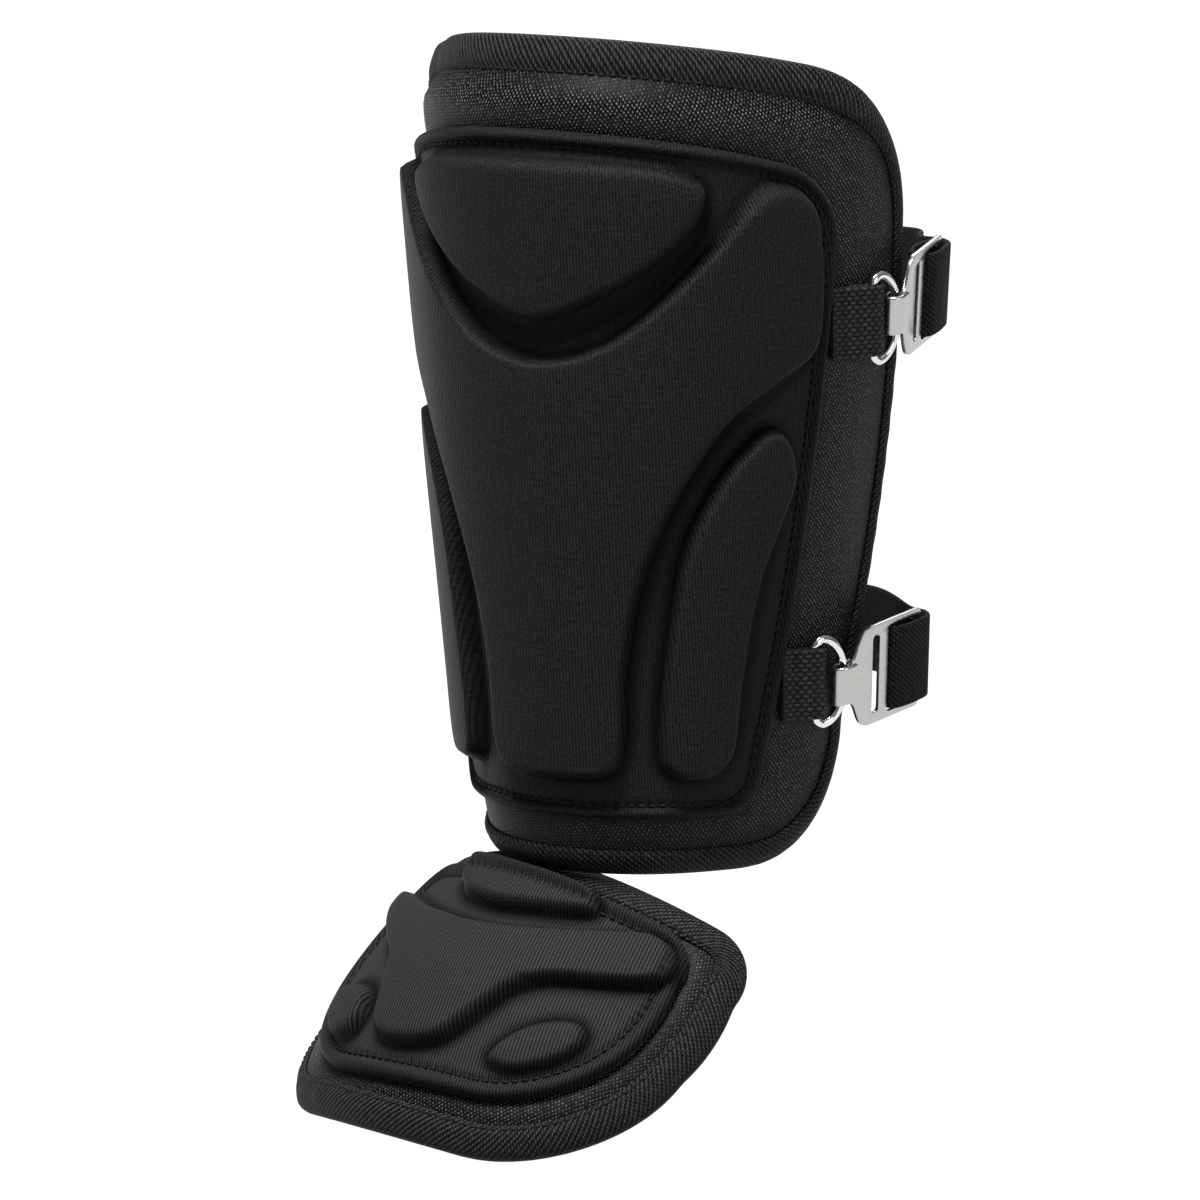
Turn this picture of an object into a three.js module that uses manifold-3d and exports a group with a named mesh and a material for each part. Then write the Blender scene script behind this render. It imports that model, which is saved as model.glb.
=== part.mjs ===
// Batter's ankle guard: a shin pad and an instep pad of mesh-covered foam, each with a bound edge and a
// moulded panel, and two elastic calf straps that hook into wire rings. Millimetres, +Z up, the shin
// faces -Y. The origin is on the leg's axis, level with the shin pad's lower edge.
import * as THREE from 'three';
import Module from 'manifold-3d';
import { mergeVertices } from 'three/addons/utils/BufferGeometryUtils.js';

const wasm = await Module();
wasm.setup();

// Leg section: a nose arc in front and flatter arcs along the sides, growing from ankle to calf.
const noseRadiusLow = 41.7;
const noseGrowth = 1 / 12;
const noseHalfAngle = THREE.MathUtils.degToRad(46);
const sideRatio = 1.8;

// Outlines in flat pattern: half widths, corner radii and bowed ends, measured along the curved surface.
const shinPadCut = {
  low: 1.6, high: 241.2, lowWidth: 93, highWidth: 121, lowCorner: 40, highCorner: 35, bulge: 8, highBow: 0.0013,
};
const shinPanelCut = {
  low: 17, high: 217, lowWidth: 58, highWidth: 88, lowCorner: 14, highCorner: 16, bulge: 3.5, highBow: 0.0021,
};
const footPadCut = {
  low: -17, high: 79.5, lowWidth: 81.5, highWidth: 84.5, lowCorner: 16, highCorner: 47, bulge: 2, highBow: 0.0006,
  lowBow: -0.0013,
};
const footPanelCut = {
  low: -8.3, high: 66, lowWidth: 59, highWidth: 61.5, lowCorner: 15, highCorner: 36, bulge: 1, highBow: 0.001,
  lowBow: -0.0013, lowTilt: -0.03, highTilt: -0.07,
};

// Padding: heights above the reference surface, at the cut edge and inside the crown.
const padFrontEdge = -0.9;
const padFront = 1.5;
const padBackEdge = -4.1;
const shinPadBack = -7;
const footPadBack = -6;
const crownWidth = 14;
const topTuck = { from: 222, slope: 0.28 };

// Bound edge: tape width on each face, tape thickness and its clearance to the pad.
const tapeWidth = 8;
const tapeThick = 1.2;
const tapeGap = 0.6;

// Moulded panels: flat flange between the pad and the raised fields.
const panelBack = 2.3;
const flangeTop = 3.8;
const fieldRise = { shin: 6, bar: 5, wing: 5.2, toe: 3.2 };
const reliefSpan = 2;

// Instep: where its middle line starts, its turn about the leg and its slope in degrees along the foot.
const instepReach = 46.5;
const instepDrop = 9.4;
const instepSide = -2.7;
const instepPanelSide = 9.25;
const instepYaw = THREE.MathUtils.degToRad(23);
const instepSlope = { start: 37, linear: 0.21, square: 0.0013 };
const instepArch = 99;

// Straps and their metal.
const webbingWidth = 21;
const webbingThick = 1.4;
const wireRadius = 1.35;
const wireGap = 0.35;
const ringDepth = 10;
const plateThick = 1.5;
const hookGap = 3.8;
const hookRise = 0.17;
const hookLean = 0.05;
const elasticWidth = 25.2;
const elasticThick = 1.6;
const sewnLength = 20;
const strapSets = [
  {
    name: 'upper', level: 158.5, tabStart: 88.6, ringBar: 100, tongue: 104.2, plateTurn: 96, hookDrop: -0.6,
    padEdge: 121, back: 82,
  },
  {
    name: 'lower', level: 53.8, tabStart: 67.4, ringBar: 75.4, tongue: 79.8, plateTurn: 74, hookDrop: 1.7,
    padEdge: 100, back: 70,
  },
];

// Hook plate, measured from the tongue's bent end along the strap: a tongue, a narrow slot, a bar and the
// slot that carries the elastic.
const plate = {
  length: 33.5, half: 15, corner: 1.8, tongueHalf: 5.8, neck: 4, shoulder: 13, lip: 9,
  slots: [{ from: 13.7, to: 16.6, half: 11.7 }, { from: 20, to: 30, half: 12.95 }],
};

// Raised fields: place of the field's top edge and the width of the slope outside it. The shield and the
// body are drawn by their right half, from the middle line and round.
const shieldEdge = [
  { u: 0, z: 206.5, slope: 3 }, { u: 20, z: 206, slope: 3 }, { u: 37, z: 203.8, slope: 3 },
  { u: 43, z: 200.5, slope: 3 }, { u: 43.2, z: 197, slope: 4 }, { u: 40, z: 191, slope: 7 },
  { u: 29, z: 180, slope: 9 }, { u: 15, z: 170.8, slope: 9 }, { u: 0, z: 164.8, slope: 8 },
];
const bodyEdge = [
  { u: 0, z: 151.3, slope: 2.4 }, { u: 10, z: 152.8, slope: 2.4 }, { u: 20, z: 157, slope: 2.4 },
  { u: 29, z: 163.5, slope: 2.4 }, { u: 43, z: 177, slope: 2.4 }, { u: 51, z: 185, slope: 2.4 },
  { u: 58, z: 193.5, slope: 2.6 }, { u: 64, z: 198, slope: 2.8 }, { u: 70.5, z: 197.8, slope: 2.8 },
  { u: 75.8, z: 193.5, slope: 2.6 }, { u: 77.5, z: 185, slope: 2.4 },
  { u: 77.5, z: 165, slope: 2.6 }, { u: 74.5, z: 153, slope: 4 }, { u: 65.5, z: 147, slope: 5 },
  { u: 55.4, z: 140.5, slope: 5 }, { u: 47, z: 133.5, slope: 5 }, { u: 36.5, z: 119, slope: 4.5 },
  { u: 29.7, z: 106, slope: 4 }, { u: 23.6, z: 86, slope: 3.5 }, { u: 19.2, z: 60, slope: 3 },
  { u: 18.9, z: 40, slope: 2.6 }, { u: 15.5, z: 33, slope: 2.6 }, { u: 8, z: 31.2, slope: 2.6 },
  { u: 0, z: 31, slope: 2.6 },
];
const lobeEdge = [
  { u: 63, z: 128, slope: 2.6 }, { u: 67, z: 117, slope: 3.5 }, { u: 61.5, z: 102, slope: 4 },
  { u: 55.8, z: 89, slope: 4.5 }, { u: 51.3, z: 72, slope: 4.5 }, { u: 47.7, z: 53, slope: 4 },
  { u: 45, z: 37, slope: 3 }, { u: 41, z: 31.8, slope: 2.6 }, { u: 35, z: 31, slope: 2.6 },
  { u: 29.2, z: 33, slope: 2.6 }, { u: 27.8, z: 40, slope: 2.5 }, { u: 31.8, z: 74, slope: 2.5 },
  { u: 39.5, z: 100, slope: 2.5 }, { u: 52, z: 120, slope: 2.5 },
];
const barEdge = [
  { u: -22.8, z: -6.5, slope: 3 }, { u: -13.8, z: -6.5, slope: 2.5 },
  { u: -4.8, z: -6, slope: 2.5 }, { u: 8.8, z: -7, slope: 2.5 }, { u: 17.2, z: -9, slope: 2.5 },
  { u: 23.2, z: -9.5, slope: 3 }, { u: 25.2, z: -6.8, slope: 3 }, { u: 19.2, z: -3, slope: 3.5 },
  { u: 12.8, z: 0.2, slope: 3.5 }, { u: 5.2, z: 3, slope: 3.5 }, { u: -2.8, z: 4.5, slope: 3.5 },
  { u: -11.8, z: 4.2, slope: 3.5 }, { u: -19.2, z: 2.1, slope: 3.5 },
  { u: -24.2, z: -1.8, slope: 3.5 },
];
const wingEdge = [
  { u: -4.8, z: 16.5, slope: 2.5 }, { u: 9.8, z: 14, slope: 2.5 }, { u: 23.2, z: 9, slope: 2.5 },
  { u: 36.2, z: 1.5, slope: 2.5 }, { u: 45.2, z: -4.2, slope: 2.5 },
  { u: 51.2, z: -3.5, slope: 3.4 }, { u: 53.8, z: 1.5, slope: 3.4 },
  { u: 51.2, z: 6.5, slope: 3.4 }, { u: 40.5, z: 14.1, slope: 3.4 },
  { u: 28.5, z: 20.4, slope: 3.4 }, { u: 20.6, z: 26.9, slope: 3.4 },
  { u: 15.8, z: 36, slope: 3.4 }, { u: 12.1, z: 44.1, slope: 3.4 }, { u: 8.1, z: 49.8, slope: 3.4 },
  { u: -0.8, z: 53.4, slope: 3.4 }, { u: -10.2, z: 53.4, slope: 3.4 },
  { u: -15.2, z: 49.5, slope: 3.4 }, { u: -17.9, z: 44.3, slope: 3.4 },
  { u: -21.9, z: 37, slope: 3.4 }, { u: -27.2, z: 30, slope: 3.4 }, { u: -35.8, z: 24, slope: 3.4 },
  { u: -44.8, z: 17.5, slope: 3.4 }, { u: -50.8, z: 11.5, slope: 3.4 },
  { u: -50.8, z: 5, slope: 3 }, { u: -42.8, z: 7.5, slope: 2.5 }, { u: -28.8, z: 13.5, slope: 2.5 },
  { u: -15.8, z: 16, slope: 2.5 },
];
const toeLobeEdge = [
  { u: 28.8, z: 49.8, slope: 3.2 }, { u: 30.5, z: 44.2, slope: 3.2 },
  { u: 34.8, z: 38.3, slope: 3.2 }, { u: 40.2, z: 33.8, slope: 3.2 },
  { u: 44.5, z: 32.2, slope: 3 }, { u: 46.2, z: 34.2, slope: 3 }, { u: 45.5, z: 37.8, slope: 3 },
  { u: 41.5, z: 43.8, slope: 3.2 }, { u: 33.2, z: 50, slope: 3.2 },
];
const outerToeLobeEdge = [
  { u: -40.8, z: 44.5, slope: 3 }, { u: -34.2, z: 43.8, slope: 3 }, { u: -29.2, z: 45.5, slope: 3 },
  { u: -26.8, z: 51, slope: 3 }, { u: -28.1, z: 55.8, slope: 3 }, { u: -33.2, z: 56.2, slope: 3 },
  { u: -38.4, z: 53, slope: 3 }, { u: -41.4, z: 49, slope: 3 },
];

// Surfaces: a point at flat place (u, z) and height h above the reference surface.
function legSection(z) {
  const nose = noseRadiusLow + noseGrowth * z;
  return { nose, side: nose * sideRatio, noseArc: nose * noseHalfAngle };
}

function legTurn(u, z) {
  const { nose, side, noseArc } = legSection(z);
  const along = Math.abs(u);
  const turn = along <= noseArc ? along / nose : noseHalfAngle + (along - noseArc) / side;
  return Math.sign(u) * turn;
}

function onShin(u, z, h) {
  const { nose, side } = legSection(z);
  const turn = Math.abs(legTurn(u, z));
  const noseTurn = Math.min(turn, noseHalfAngle);
  const across = nose * Math.sin(noseTurn) + side * (Math.sin(turn) - Math.sin(noseTurn));
  const back = nose * (1 - Math.cos(noseTurn)) + side * (Math.cos(noseTurn) - Math.cos(turn));
  const x = across + h * Math.sin(turn);
  return new THREE.Vector3(u < 0 ? -x : x, back - nose - h * Math.cos(turn), z);
}

// The shin pad's top edge is drawn in towards the leg.
function onShinPad(u, z, h) {
  return onShin(u, z, h - topTuck.slope * Math.max(0, z - topTuck.from));
}

function instepAngle(p) {
  return THREE.MathUtils.degToRad(instepSlope.start + instepSlope.linear * p + instepSlope.square * p * p);
}

function instepPoint(p) {
  const steps = 24;
  const step = p / steps;
  const point = { forward: 0, fall: 0 };
  for (let i = 0; i < steps; i += 1) {
    const angle = instepAngle((i + 0.5) * step);
    point.forward += Math.cos(angle) * step;
    point.fall += Math.sin(angle) * step;
  }
  return point;
}

function onInstep(q, p, h) {
  const { forward, fall } = instepPoint(p);
  const angle = instepAngle(p);
  const roll = q / instepArch;
  const across = (instepArch + h) * Math.sin(roll) + instepSide;
  const rise = (instepArch + h) * Math.cos(roll) - instepArch;
  const out = instepReach + forward + rise * Math.sin(angle);
  const up = rise * Math.cos(angle) - fall - instepDrop;
  const x = across * Math.cos(instepYaw) - out * Math.sin(instepYaw);
  const y = -out * Math.cos(instepYaw) - across * Math.sin(instepYaw);
  return new THREE.Vector3(x, y, up);
}

function onInstepPanel(q, p, h) {
  return onInstep(q + instepPanelSide, p, h);
}

// Flat outlines: rows of a cut from its low end to its high end, with rounded corners.
function cutRows(cut, cornerSteps, sideSteps) {
  const rows = [];
  const sideLow = cut.low + cut.lowCorner;
  const sideHigh = cut.high - cut.highCorner - cut.highBow * cut.highWidth ** 2;
  for (let i = 0; i < cornerSteps; i += 1) {
    const turn = (i / cornerSteps) * (Math.PI / 2);
    const width = cut.lowWidth - cut.lowCorner * (1 - Math.sin(turn));
    rows.push({ z: cut.low + cut.lowCorner * (1 - Math.cos(turn)), width });
  }
  for (let i = 0; i <= sideSteps; i += 1) {
    const part = i / sideSteps;
    const width = THREE.MathUtils.lerp(cut.lowWidth, cut.highWidth, part) + 4 * cut.bulge * part * (1 - part);
    rows.push({ z: THREE.MathUtils.lerp(sideLow, sideHigh, part), width });
  }
  for (let i = cornerSteps - 1; i >= 0; i -= 1) {
    const turn = (i / cornerSteps) * (Math.PI / 2);
    const width = cut.highWidth - cut.highCorner * (1 - Math.sin(turn));
    rows.push({ z: sideHigh + cut.highCorner * Math.cos(turn), width });
  }
  const last = rows.length - 1;
  rows.forEach((row, i) => {
    row.part = i / last;
    row.lift = cut.highBow * cut.highWidth ** 2 * THREE.MathUtils.smoothstep(row.z, sideLow, cut.high);
  });
  return rows;
}

// Bowed rows: the ends of a cut rise or fall towards its sides, and a cut may be tilted.
function cutPoint(cut, row, s) {
  const u = s * row.width;
  const high = row.lift * (1 - (u / cut.highWidth) ** 2);
  const low = (cut.lowBow ?? 0) * u * u * (1 - row.part);
  const tilt = u * THREE.MathUtils.lerp(cut.lowTilt ?? 0, cut.highTilt ?? 0, row.part);
  return new THREE.Vector2(u, row.z + high + low + tilt);
}

function cutGrid(cut, rows, columns) {
  return rows.map((row) => columns.map((s) => cutPoint(cut, row, s)));
}

function evenColumns(count) {
  return Array.from({ length: count + 1 }, (_, i) => (2 * i) / count - 1);
}

function gridLoop(grid) {
  const last = grid.length - 1;
  const side = grid[0].length - 1;
  const loop = grid[0].slice(0, side);
  for (let i = 0; i < last; i += 1) loop.push(grid[i][side]);
  for (let j = side; j > 0; j -= 1) loop.push(grid[last][j]);
  for (let i = last; i > 0; i -= 1) loop.push(grid[i][0]);
  return loop;
}

// Distance from a flat point to a closed outline, positive inside it.
function depthInside(outline, point) {
  let nearest = Infinity;
  let inside = false;
  for (let i = 0; i < outline.length; i += 1) {
    const a = outline[i];
    const b = outline[(i + 1) % outline.length];
    const abx = b.x - a.x;
    const aby = b.y - a.y;
    const t = ((point.x - a.x) * abx + (point.y - a.y) * aby) / (abx * abx + aby * aby);
    const near = THREE.MathUtils.clamp(t, 0, 1);
    nearest = Math.min(nearest, Math.hypot(point.x - a.x - near * abx, point.y - a.y - near * aby));
    const crosses = a.y > point.y !== b.y > point.y;
    if (crosses && point.x < a.x + ((point.y - a.y) / aby) * abx) inside = !inside;
  }
  return inside ? nearest : -nearest;
}

// A raised field: its top outline and the foot of the slope round it.
function raisedField(edge, rise, mirrored) {
  let rows = edge;
  if (mirrored) {
    const left = edge.filter((row) => row.u > 0).reverse();
    rows = edge.concat(left.map((row) => ({ ...row, u: -row.u })));
  }
  const corners = rows.map((row) => new THREE.Vector3(row.u, row.z, row.slope));
  const samples = new THREE.CatmullRomCurve3(corners, true).getPoints(rows.length * 5).slice(1);
  const top = samples.map((sample) => new THREE.Vector2(sample.x, sample.y));
  const turn = THREE.ShapeUtils.area(top) > 0 ? 1 : -1;
  const foot = top.map((point, i) => {
    const before = top[(i + top.length - 1) % top.length];
    const after = top[(i + 1) % top.length];
    const along = after.clone().sub(before).normalize();
    return new THREE.Vector2(along.y, -along.x).multiplyScalar(turn * samples[i].z).add(point);
  });
  return { top, foot, rise };
}

function mirrorField(field) {
  const flip = (point) => new THREE.Vector2(-point.x, point.y);
  return { top: field.top.map(flip), foot: field.foot.map(flip), rise: field.rise };
}

function fieldHeight(fields, point) {
  let height = 0;
  for (const field of fields) {
    const toFoot = depthInside(field.foot, point);
    const toTop = depthInside(field.top, point);
    let part = 0;
    if (toTop >= 0) part = 1;
    else if (toFoot > 0) part = THREE.MathUtils.smoothstep(toFoot / (toFoot - toTop), 0, 1);
    height = Math.max(height, part * field.rise);
  }
  return height;
}

// Height of the relief, evened out over the span of the grid that carries it.
function reliefAt(fields, point) {
  let sum = 0;
  for (const du of [-reliefSpan, 0, reliefSpan]) {
    for (const dz of [-reliefSpan, 0, reliefSpan]) {
      sum += fieldHeight(fields, new THREE.Vector2(point.x + du, point.y + dz));
    }
  }
  return sum / 9;
}

// Meshes: closed bodies from grids and from swept rings.
function bodyFrom(points, triangles) {
  const geometry = new THREE.BufferGeometry();
  const volume = triangles.reduce((sum, [a, b, c]) => {
    return sum + points[a].dot(new THREE.Vector3().crossVectors(points[b], points[c]));
  }, 0);
  const outward = volume > 0 ? triangles : triangles.map(([a, b, c]) => [a, c, b]);
  geometry.setAttribute('position', new THREE.Float32BufferAttribute(points.flatMap((p) => [p.x, p.y, p.z]), 3));
  geometry.setIndex(outward.flat());
  return geometry;
}

// A sheet with a fine front and a back of every second grid line, joined round the rim.
function sheetBody(front, back) {
  const points = [...front.flat(), ...back.flat()];
  const wide = front[0].length;
  const backWide = back[0].length;
  const base = front.length * wide;
  const triangles = [];
  const frontAt = (i, j) => i * wide + j;
  const backAt = (i, j) => base + i * backWide + j;
  const skin = (rows, columns, at, turned) => {
    for (let i = 0; i < rows - 1; i += 1) {
      for (let j = 0; j < columns - 1; j += 1) {
        const quad = [at(i, j), at(i, j + 1), at(i + 1, j + 1), at(i + 1, j)];
        if (turned) quad.reverse();
        triangles.push([quad[0], quad[1], quad[2]], [quad[0], quad[2], quad[3]]);
      }
    }
  };
  skin(front.length, wide, frontAt, false);
  skin(back.length, backWide, backAt, true);
  const rim = gridLoop(front.map((row, i) => row.map((_, j) => frontAt(i, j))));
  const under = gridLoop(back.map((row, i) => row.map((_, j) => backAt(i, j))));
  const ratio = rim.length / under.length;
  under.forEach((low, i) => {
    const next = under[(i + 1) % under.length];
    for (let k = 0; k < ratio; k += 1) {
      const a = rim[i * ratio + k];
      triangles.push([a, low, rim[(i * ratio + k + 1) % rim.length]]);
    }
    triangles.push([rim[((i + 1) * ratio) % rim.length], low, next]);
  });
  return bodyFrom(points, triangles);
}

// A body swept through rings of equal count, closed on itself or capped at both ends.
function sweptBody(rings, closed) {
  const count = rings[0].length;
  const triangles = [];
  const spans = closed ? rings.length : rings.length - 1;
  for (let i = 0; i < spans; i += 1) {
    const next = (i + 1) % rings.length;
    for (let j = 0; j < count; j += 1) {
      const k = (j + 1) % count;
      const quad = [i * count + j, i * count + k, next * count + k, next * count + j];
      triangles.push([quad[0], quad[1], quad[2]], [quad[0], quad[2], quad[3]]);
    }
  }
  if (!closed) {
    const last = (rings.length - 1) * count;
    for (let j = 1; j < count - 1; j += 1) {
      triangles.push([0, j + 1, j], [last, last + j, last + j + 1]);
    }
  }
  return bodyFrom(rings.flat(), triangles);
}

function solidFrom(geometry) {
  geometry.deleteAttribute('normal');
  geometry.deleteAttribute('uv');
  const merged = mergeVertices(geometry, 1e-4);
  const vertProperties = Float32Array.from(merged.attributes.position.array);
  const triVerts = Uint32Array.from(merged.index.array);
  return new wasm.Manifold(new wasm.Mesh({ numProp: 3, vertProperties, triVerts }));
}

function geometryFrom(solid) {
  const { vertProperties, triVerts } = solid.getMesh();
  const geometry = new THREE.BufferGeometry();
  geometry.setAttribute('position', new THREE.BufferAttribute(Float32Array.from(vertProperties), 3));
  geometry.setIndex(Array.from(triVerts));
  return geometry;
}

// Pads: crowned foam with a thin edge, and the tape bound round that edge.
function crown(depth) {
  const inward = THREE.MathUtils.clamp(depth / crownWidth, 0, 1);
  return 1 - (1 - inward) ** 2;
}

function padFrontAt(depth) {
  return THREE.MathUtils.lerp(padFrontEdge, padFront, crown(depth));
}

function padBackAt(depth, back) {
  return THREE.MathUtils.lerp(padBackEdge, back, crown(depth));
}

function padColumns(count, margin) {
  const inner = evenColumns(count).map((s) => s * (1 - margin));
  return [-1, ...inner, 1];
}

function padBody(cut, place, back, rows, columns) {
  const flat = cutGrid(cut, rows, columns);
  const loop = gridLoop(flat);
  const depth = (point) => Math.max(0, depthInside(loop, point));
  const front = flat.map((row) => row.map((p) => place(p.x, p.y, padFrontAt(depth(p)))));
  const rear = flat.map((row) => row.map((p) => place(p.x, p.y, padBackAt(depth(p), back))));
  rear.forEach((row, i) => {
    row.forEach((point, j) => {
      const onRim = i === 0 || j === 0 || i === rear.length - 1 || j === row.length - 1;
      if (onRim) point.copy(place(flat[i][j].x, flat[i][j].y, padBackEdge));
    });
  });
  return sheetBody(front, rear);
}

function bindingBody(cut, place, back, rows, columns) {
  const loop = gridLoop(cutGrid(cut, rows, columns));
  const outside = tapeGap + tapeThick;
  const side = 0.4;
  const section = [
    { depth: tapeWidth, height: padFrontAt(tapeWidth) + outside },
    { depth: -side - tapeThick, height: padFrontEdge + tapeGap },
    { depth: -side - tapeThick, height: padBackEdge - tapeGap },
    { depth: tapeWidth, height: padBackAt(tapeWidth, back) - outside },
    { depth: tapeWidth, height: padBackAt(tapeWidth, back) - tapeGap },
    { depth: -side, height: padBackEdge - tapeGap },
    { depth: -side, height: padFrontEdge + tapeGap },
    { depth: tapeWidth, height: padFrontAt(tapeWidth) + tapeGap },
  ];
  const rings = loop.map((point, i) => {
    const before = loop[(i + loop.length - 1) % loop.length];
    const after = loop[(i + 1) % loop.length];
    const along = after.clone().sub(before).normalize();
    const inward = new THREE.Vector2(-along.y, along.x);
    return section.map(({ depth, height }) => {
      const flat = inward.clone().multiplyScalar(depth).add(point);
      return place(flat.x, flat.y, height);
    });
  });
  return sweptBody(rings, true);
}

// Panels: a flange of even thickness with raised fields.
function panelBody(cut, place, fields, rows, columns) {
  const flat = cutGrid(cut, rows, columns);
  const even = (_, i) => i % 2 === 0;
  const front = flat.map((row) => row.map((p) => place(p.x, p.y, flangeTop + reliefAt(fields, p))));
  const rear = flat.filter(even).map((row) => row.filter(even).map((p) => place(p.x, p.y, panelBack)));
  return sheetBody(front, rear);
}

// Strap metal and webbing, each in the frame of its own strap set.
function tabBody(set) {
  const wrap = wireRadius + wireGap;
  const outer = wrap + webbingThick;
  const barHeight = padFront + 0.5 + outer;
  const length = set.ringBar - set.tabStart;
  const profile = new THREE.Shape();
  profile.moveTo(set.tabStart, barHeight - outer);
  profile.lineTo(set.ringBar, barHeight - outer);
  profile.absarc(set.ringBar, barHeight, outer, -Math.PI / 2, Math.PI / 2, false);
  profile.lineTo(set.ringBar - length / 3, barHeight + outer * 0.8);
  profile.lineTo(set.tabStart, barHeight - outer + 2 * webbingThick);
  const eye = new THREE.Path().absarc(set.ringBar, barHeight, wrap, 0, Math.PI * 2, true);
  profile.holes.push(eye);
  const geometry = new THREE.ExtrudeGeometry(profile, { depth: webbingWidth, bevelEnabled: false, curveSegments: 8 });
  const place = geometry.attributes.position;
  for (let i = 0; i < place.count; i += 1) {
    const level = set.level + webbingWidth / 2 - place.getZ(i);
    const point = onShin(place.getX(i), level, place.getY(i));
    place.setXYZ(i, point.x, point.y, point.z);
  }
  const solid = solidFrom(geometry);
  return geometryFrom(solid);
}

// Direction up the pad's face at a strap's ring.
function shinRise(set) {
  const half = webbingWidth / 2;
  const low = onShin(set.ringBar, set.level - half, padFront);
  return onShin(set.ringBar, set.level + half, padFront).sub(low).normalize();
}

// The hook lies along the strap, its plate's inner face on the frame's origin.
function hookFrame(set) {
  const height = padFront + 0.5 + 2 * (wireRadius + webbingThick) + 2.2;
  const origin = onShin(set.tongue, set.level, height);
  const turn = THREE.MathUtils.degToRad(set.plateTurn);
  const along = new THREE.Vector3(Math.cos(turn), Math.sin(turn), hookRise);
  const out = new THREE.Vector3(Math.sin(turn), -Math.cos(turn), 0);
  origin.z -= set.hookDrop;
  return { origin, along, out, up: shinRise(set).addScaledVector(out, hookLean) };
}

function hookPoint(frame, t, v, n) {
  const point = frame.origin.clone().addScaledVector(frame.along, t);
  return point.addScaledVector(frame.up, v).addScaledVector(frame.out, n);
}

function ringBody(set) {
  const barHeight = padFront + 0.5 + wireRadius + wireGap + webbingThick;
  const barHalf = webbingWidth / 2 + 0.6;
  const arcStart = 2.2;
  const arcSteps = 14;
  const path = [new THREE.Vector2(0, -barHalf), new THREE.Vector2(0, 0), new THREE.Vector2(0, barHalf)];
  for (let i = 0; i <= arcSteps; i += 1) {
    const turn = Math.PI / 2 - (i / arcSteps) * Math.PI;
    const reach = arcStart + (ringDepth - arcStart) * Math.cos(turn);
    path.push(new THREE.Vector2(reach, (barHalf + 1.6) * Math.sin(turn)));
  }
  const bar = onShin(set.ringBar, set.level, barHeight);
  const held = hookPoint(hookFrame(set), set.ringBar + ringDepth - set.tongue, 0, -hookGap / 2);
  const up = shinRise(set);
  const along = held.sub(bar).projectOnPlane(up).normalize();
  const out = along.clone().cross(up);
  const sides = 8;
  const rings = path.map((point, i) => {
    const before = path[(i + path.length - 1) % path.length];
    const after = path[(i + 1) % path.length];
    const flow = after.clone().sub(before).normalize();
    return Array.from({ length: sides }, (_, k) => {
      const turn = ((k + 0.5) / sides) * Math.PI * 2;
      const across = Math.cos(turn) * wireRadius;
      const place = bar.clone().addScaledVector(along, point.x + flow.y * across);
      place.addScaledVector(up, point.y - flow.x * across);
      return place.addScaledVector(out, Math.sin(turn) * wireRadius);
    });
  });
  return sweptBody(rings, true);
}

// Hook: a flat plate with two slots, and a tongue bent back under itself round the ring.
function plateOutline() {
  const { length, half, corner, tongueHalf, neck, shoulder } = plate;
  const bend = hookGap / 2 + plateThick;
  const outline = new THREE.Shape();
  outline.moveTo(bend, -tongueHalf);
  outline.lineTo(neck, -tongueHalf);
  outline.bezierCurveTo(neck + 4, -tongueHalf, neck + 2.5, -half, shoulder, -half);
  outline.lineTo(length - corner, -half);
  outline.absarc(length - corner, corner - half, corner, -Math.PI / 2, 0, false);
  outline.absarc(length - corner, half - corner, corner, 0, Math.PI / 2, false);
  outline.lineTo(shoulder, half);
  outline.bezierCurveTo(neck + 2.5, half, neck + 4, tongueHalf, neck, tongueHalf);
  outline.lineTo(bend, tongueHalf);
  for (const slot of plate.slots) {
    const hole = new THREE.Path();
    hole.moveTo(slot.from, -slot.half);
    hole.lineTo(slot.from, slot.half);
    hole.lineTo(slot.to, slot.half);
    hole.lineTo(slot.to, -slot.half);
    outline.holes.push(hole);
  }
  return outline;
}

function tongueProfile() {
  const inner = hookGap / 2;
  const outer = inner + plateThick;
  const profile = new THREE.Shape();
  profile.moveTo(outer + 1, plateThick);
  profile.lineTo(outer, plateThick);
  profile.absarc(outer, -inner, outer, Math.PI / 2, Math.PI * 1.5, false);
  profile.lineTo(plate.lip, -inner - outer);
  profile.lineTo(plate.lip, -hookGap);
  profile.lineTo(outer, -hookGap);
  profile.absarc(outer, -inner, inner, Math.PI * 1.5, Math.PI / 2, true);
  profile.lineTo(outer + 1, 0);
  return profile;
}

function hookBody(set) {
  const flat = new THREE.ExtrudeGeometry(plateOutline(), {
    depth: plateThick, bevelEnabled: false, curveSegments: 5,
  });
  const bent = new THREE.ExtrudeGeometry(tongueProfile(), {
    depth: 2 * plate.tongueHalf, bevelEnabled: false, curveSegments: 7,
  });
  bent.rotateX(Math.PI / 2);
  bent.translate(0, plate.tongueHalf, 0);
  const geometry = geometryFrom(solidFrom(flat).add(solidFrom(bent)));
  const frame = hookFrame(set);
  const place = geometry.attributes.position;
  for (let i = 0; i < place.count; i += 1) {
    const point = hookPoint(frame, place.getX(i), place.getY(i), place.getZ(i));
    place.setXYZ(i, point.x, point.y, point.z);
  }
  return geometry;
}

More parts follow.
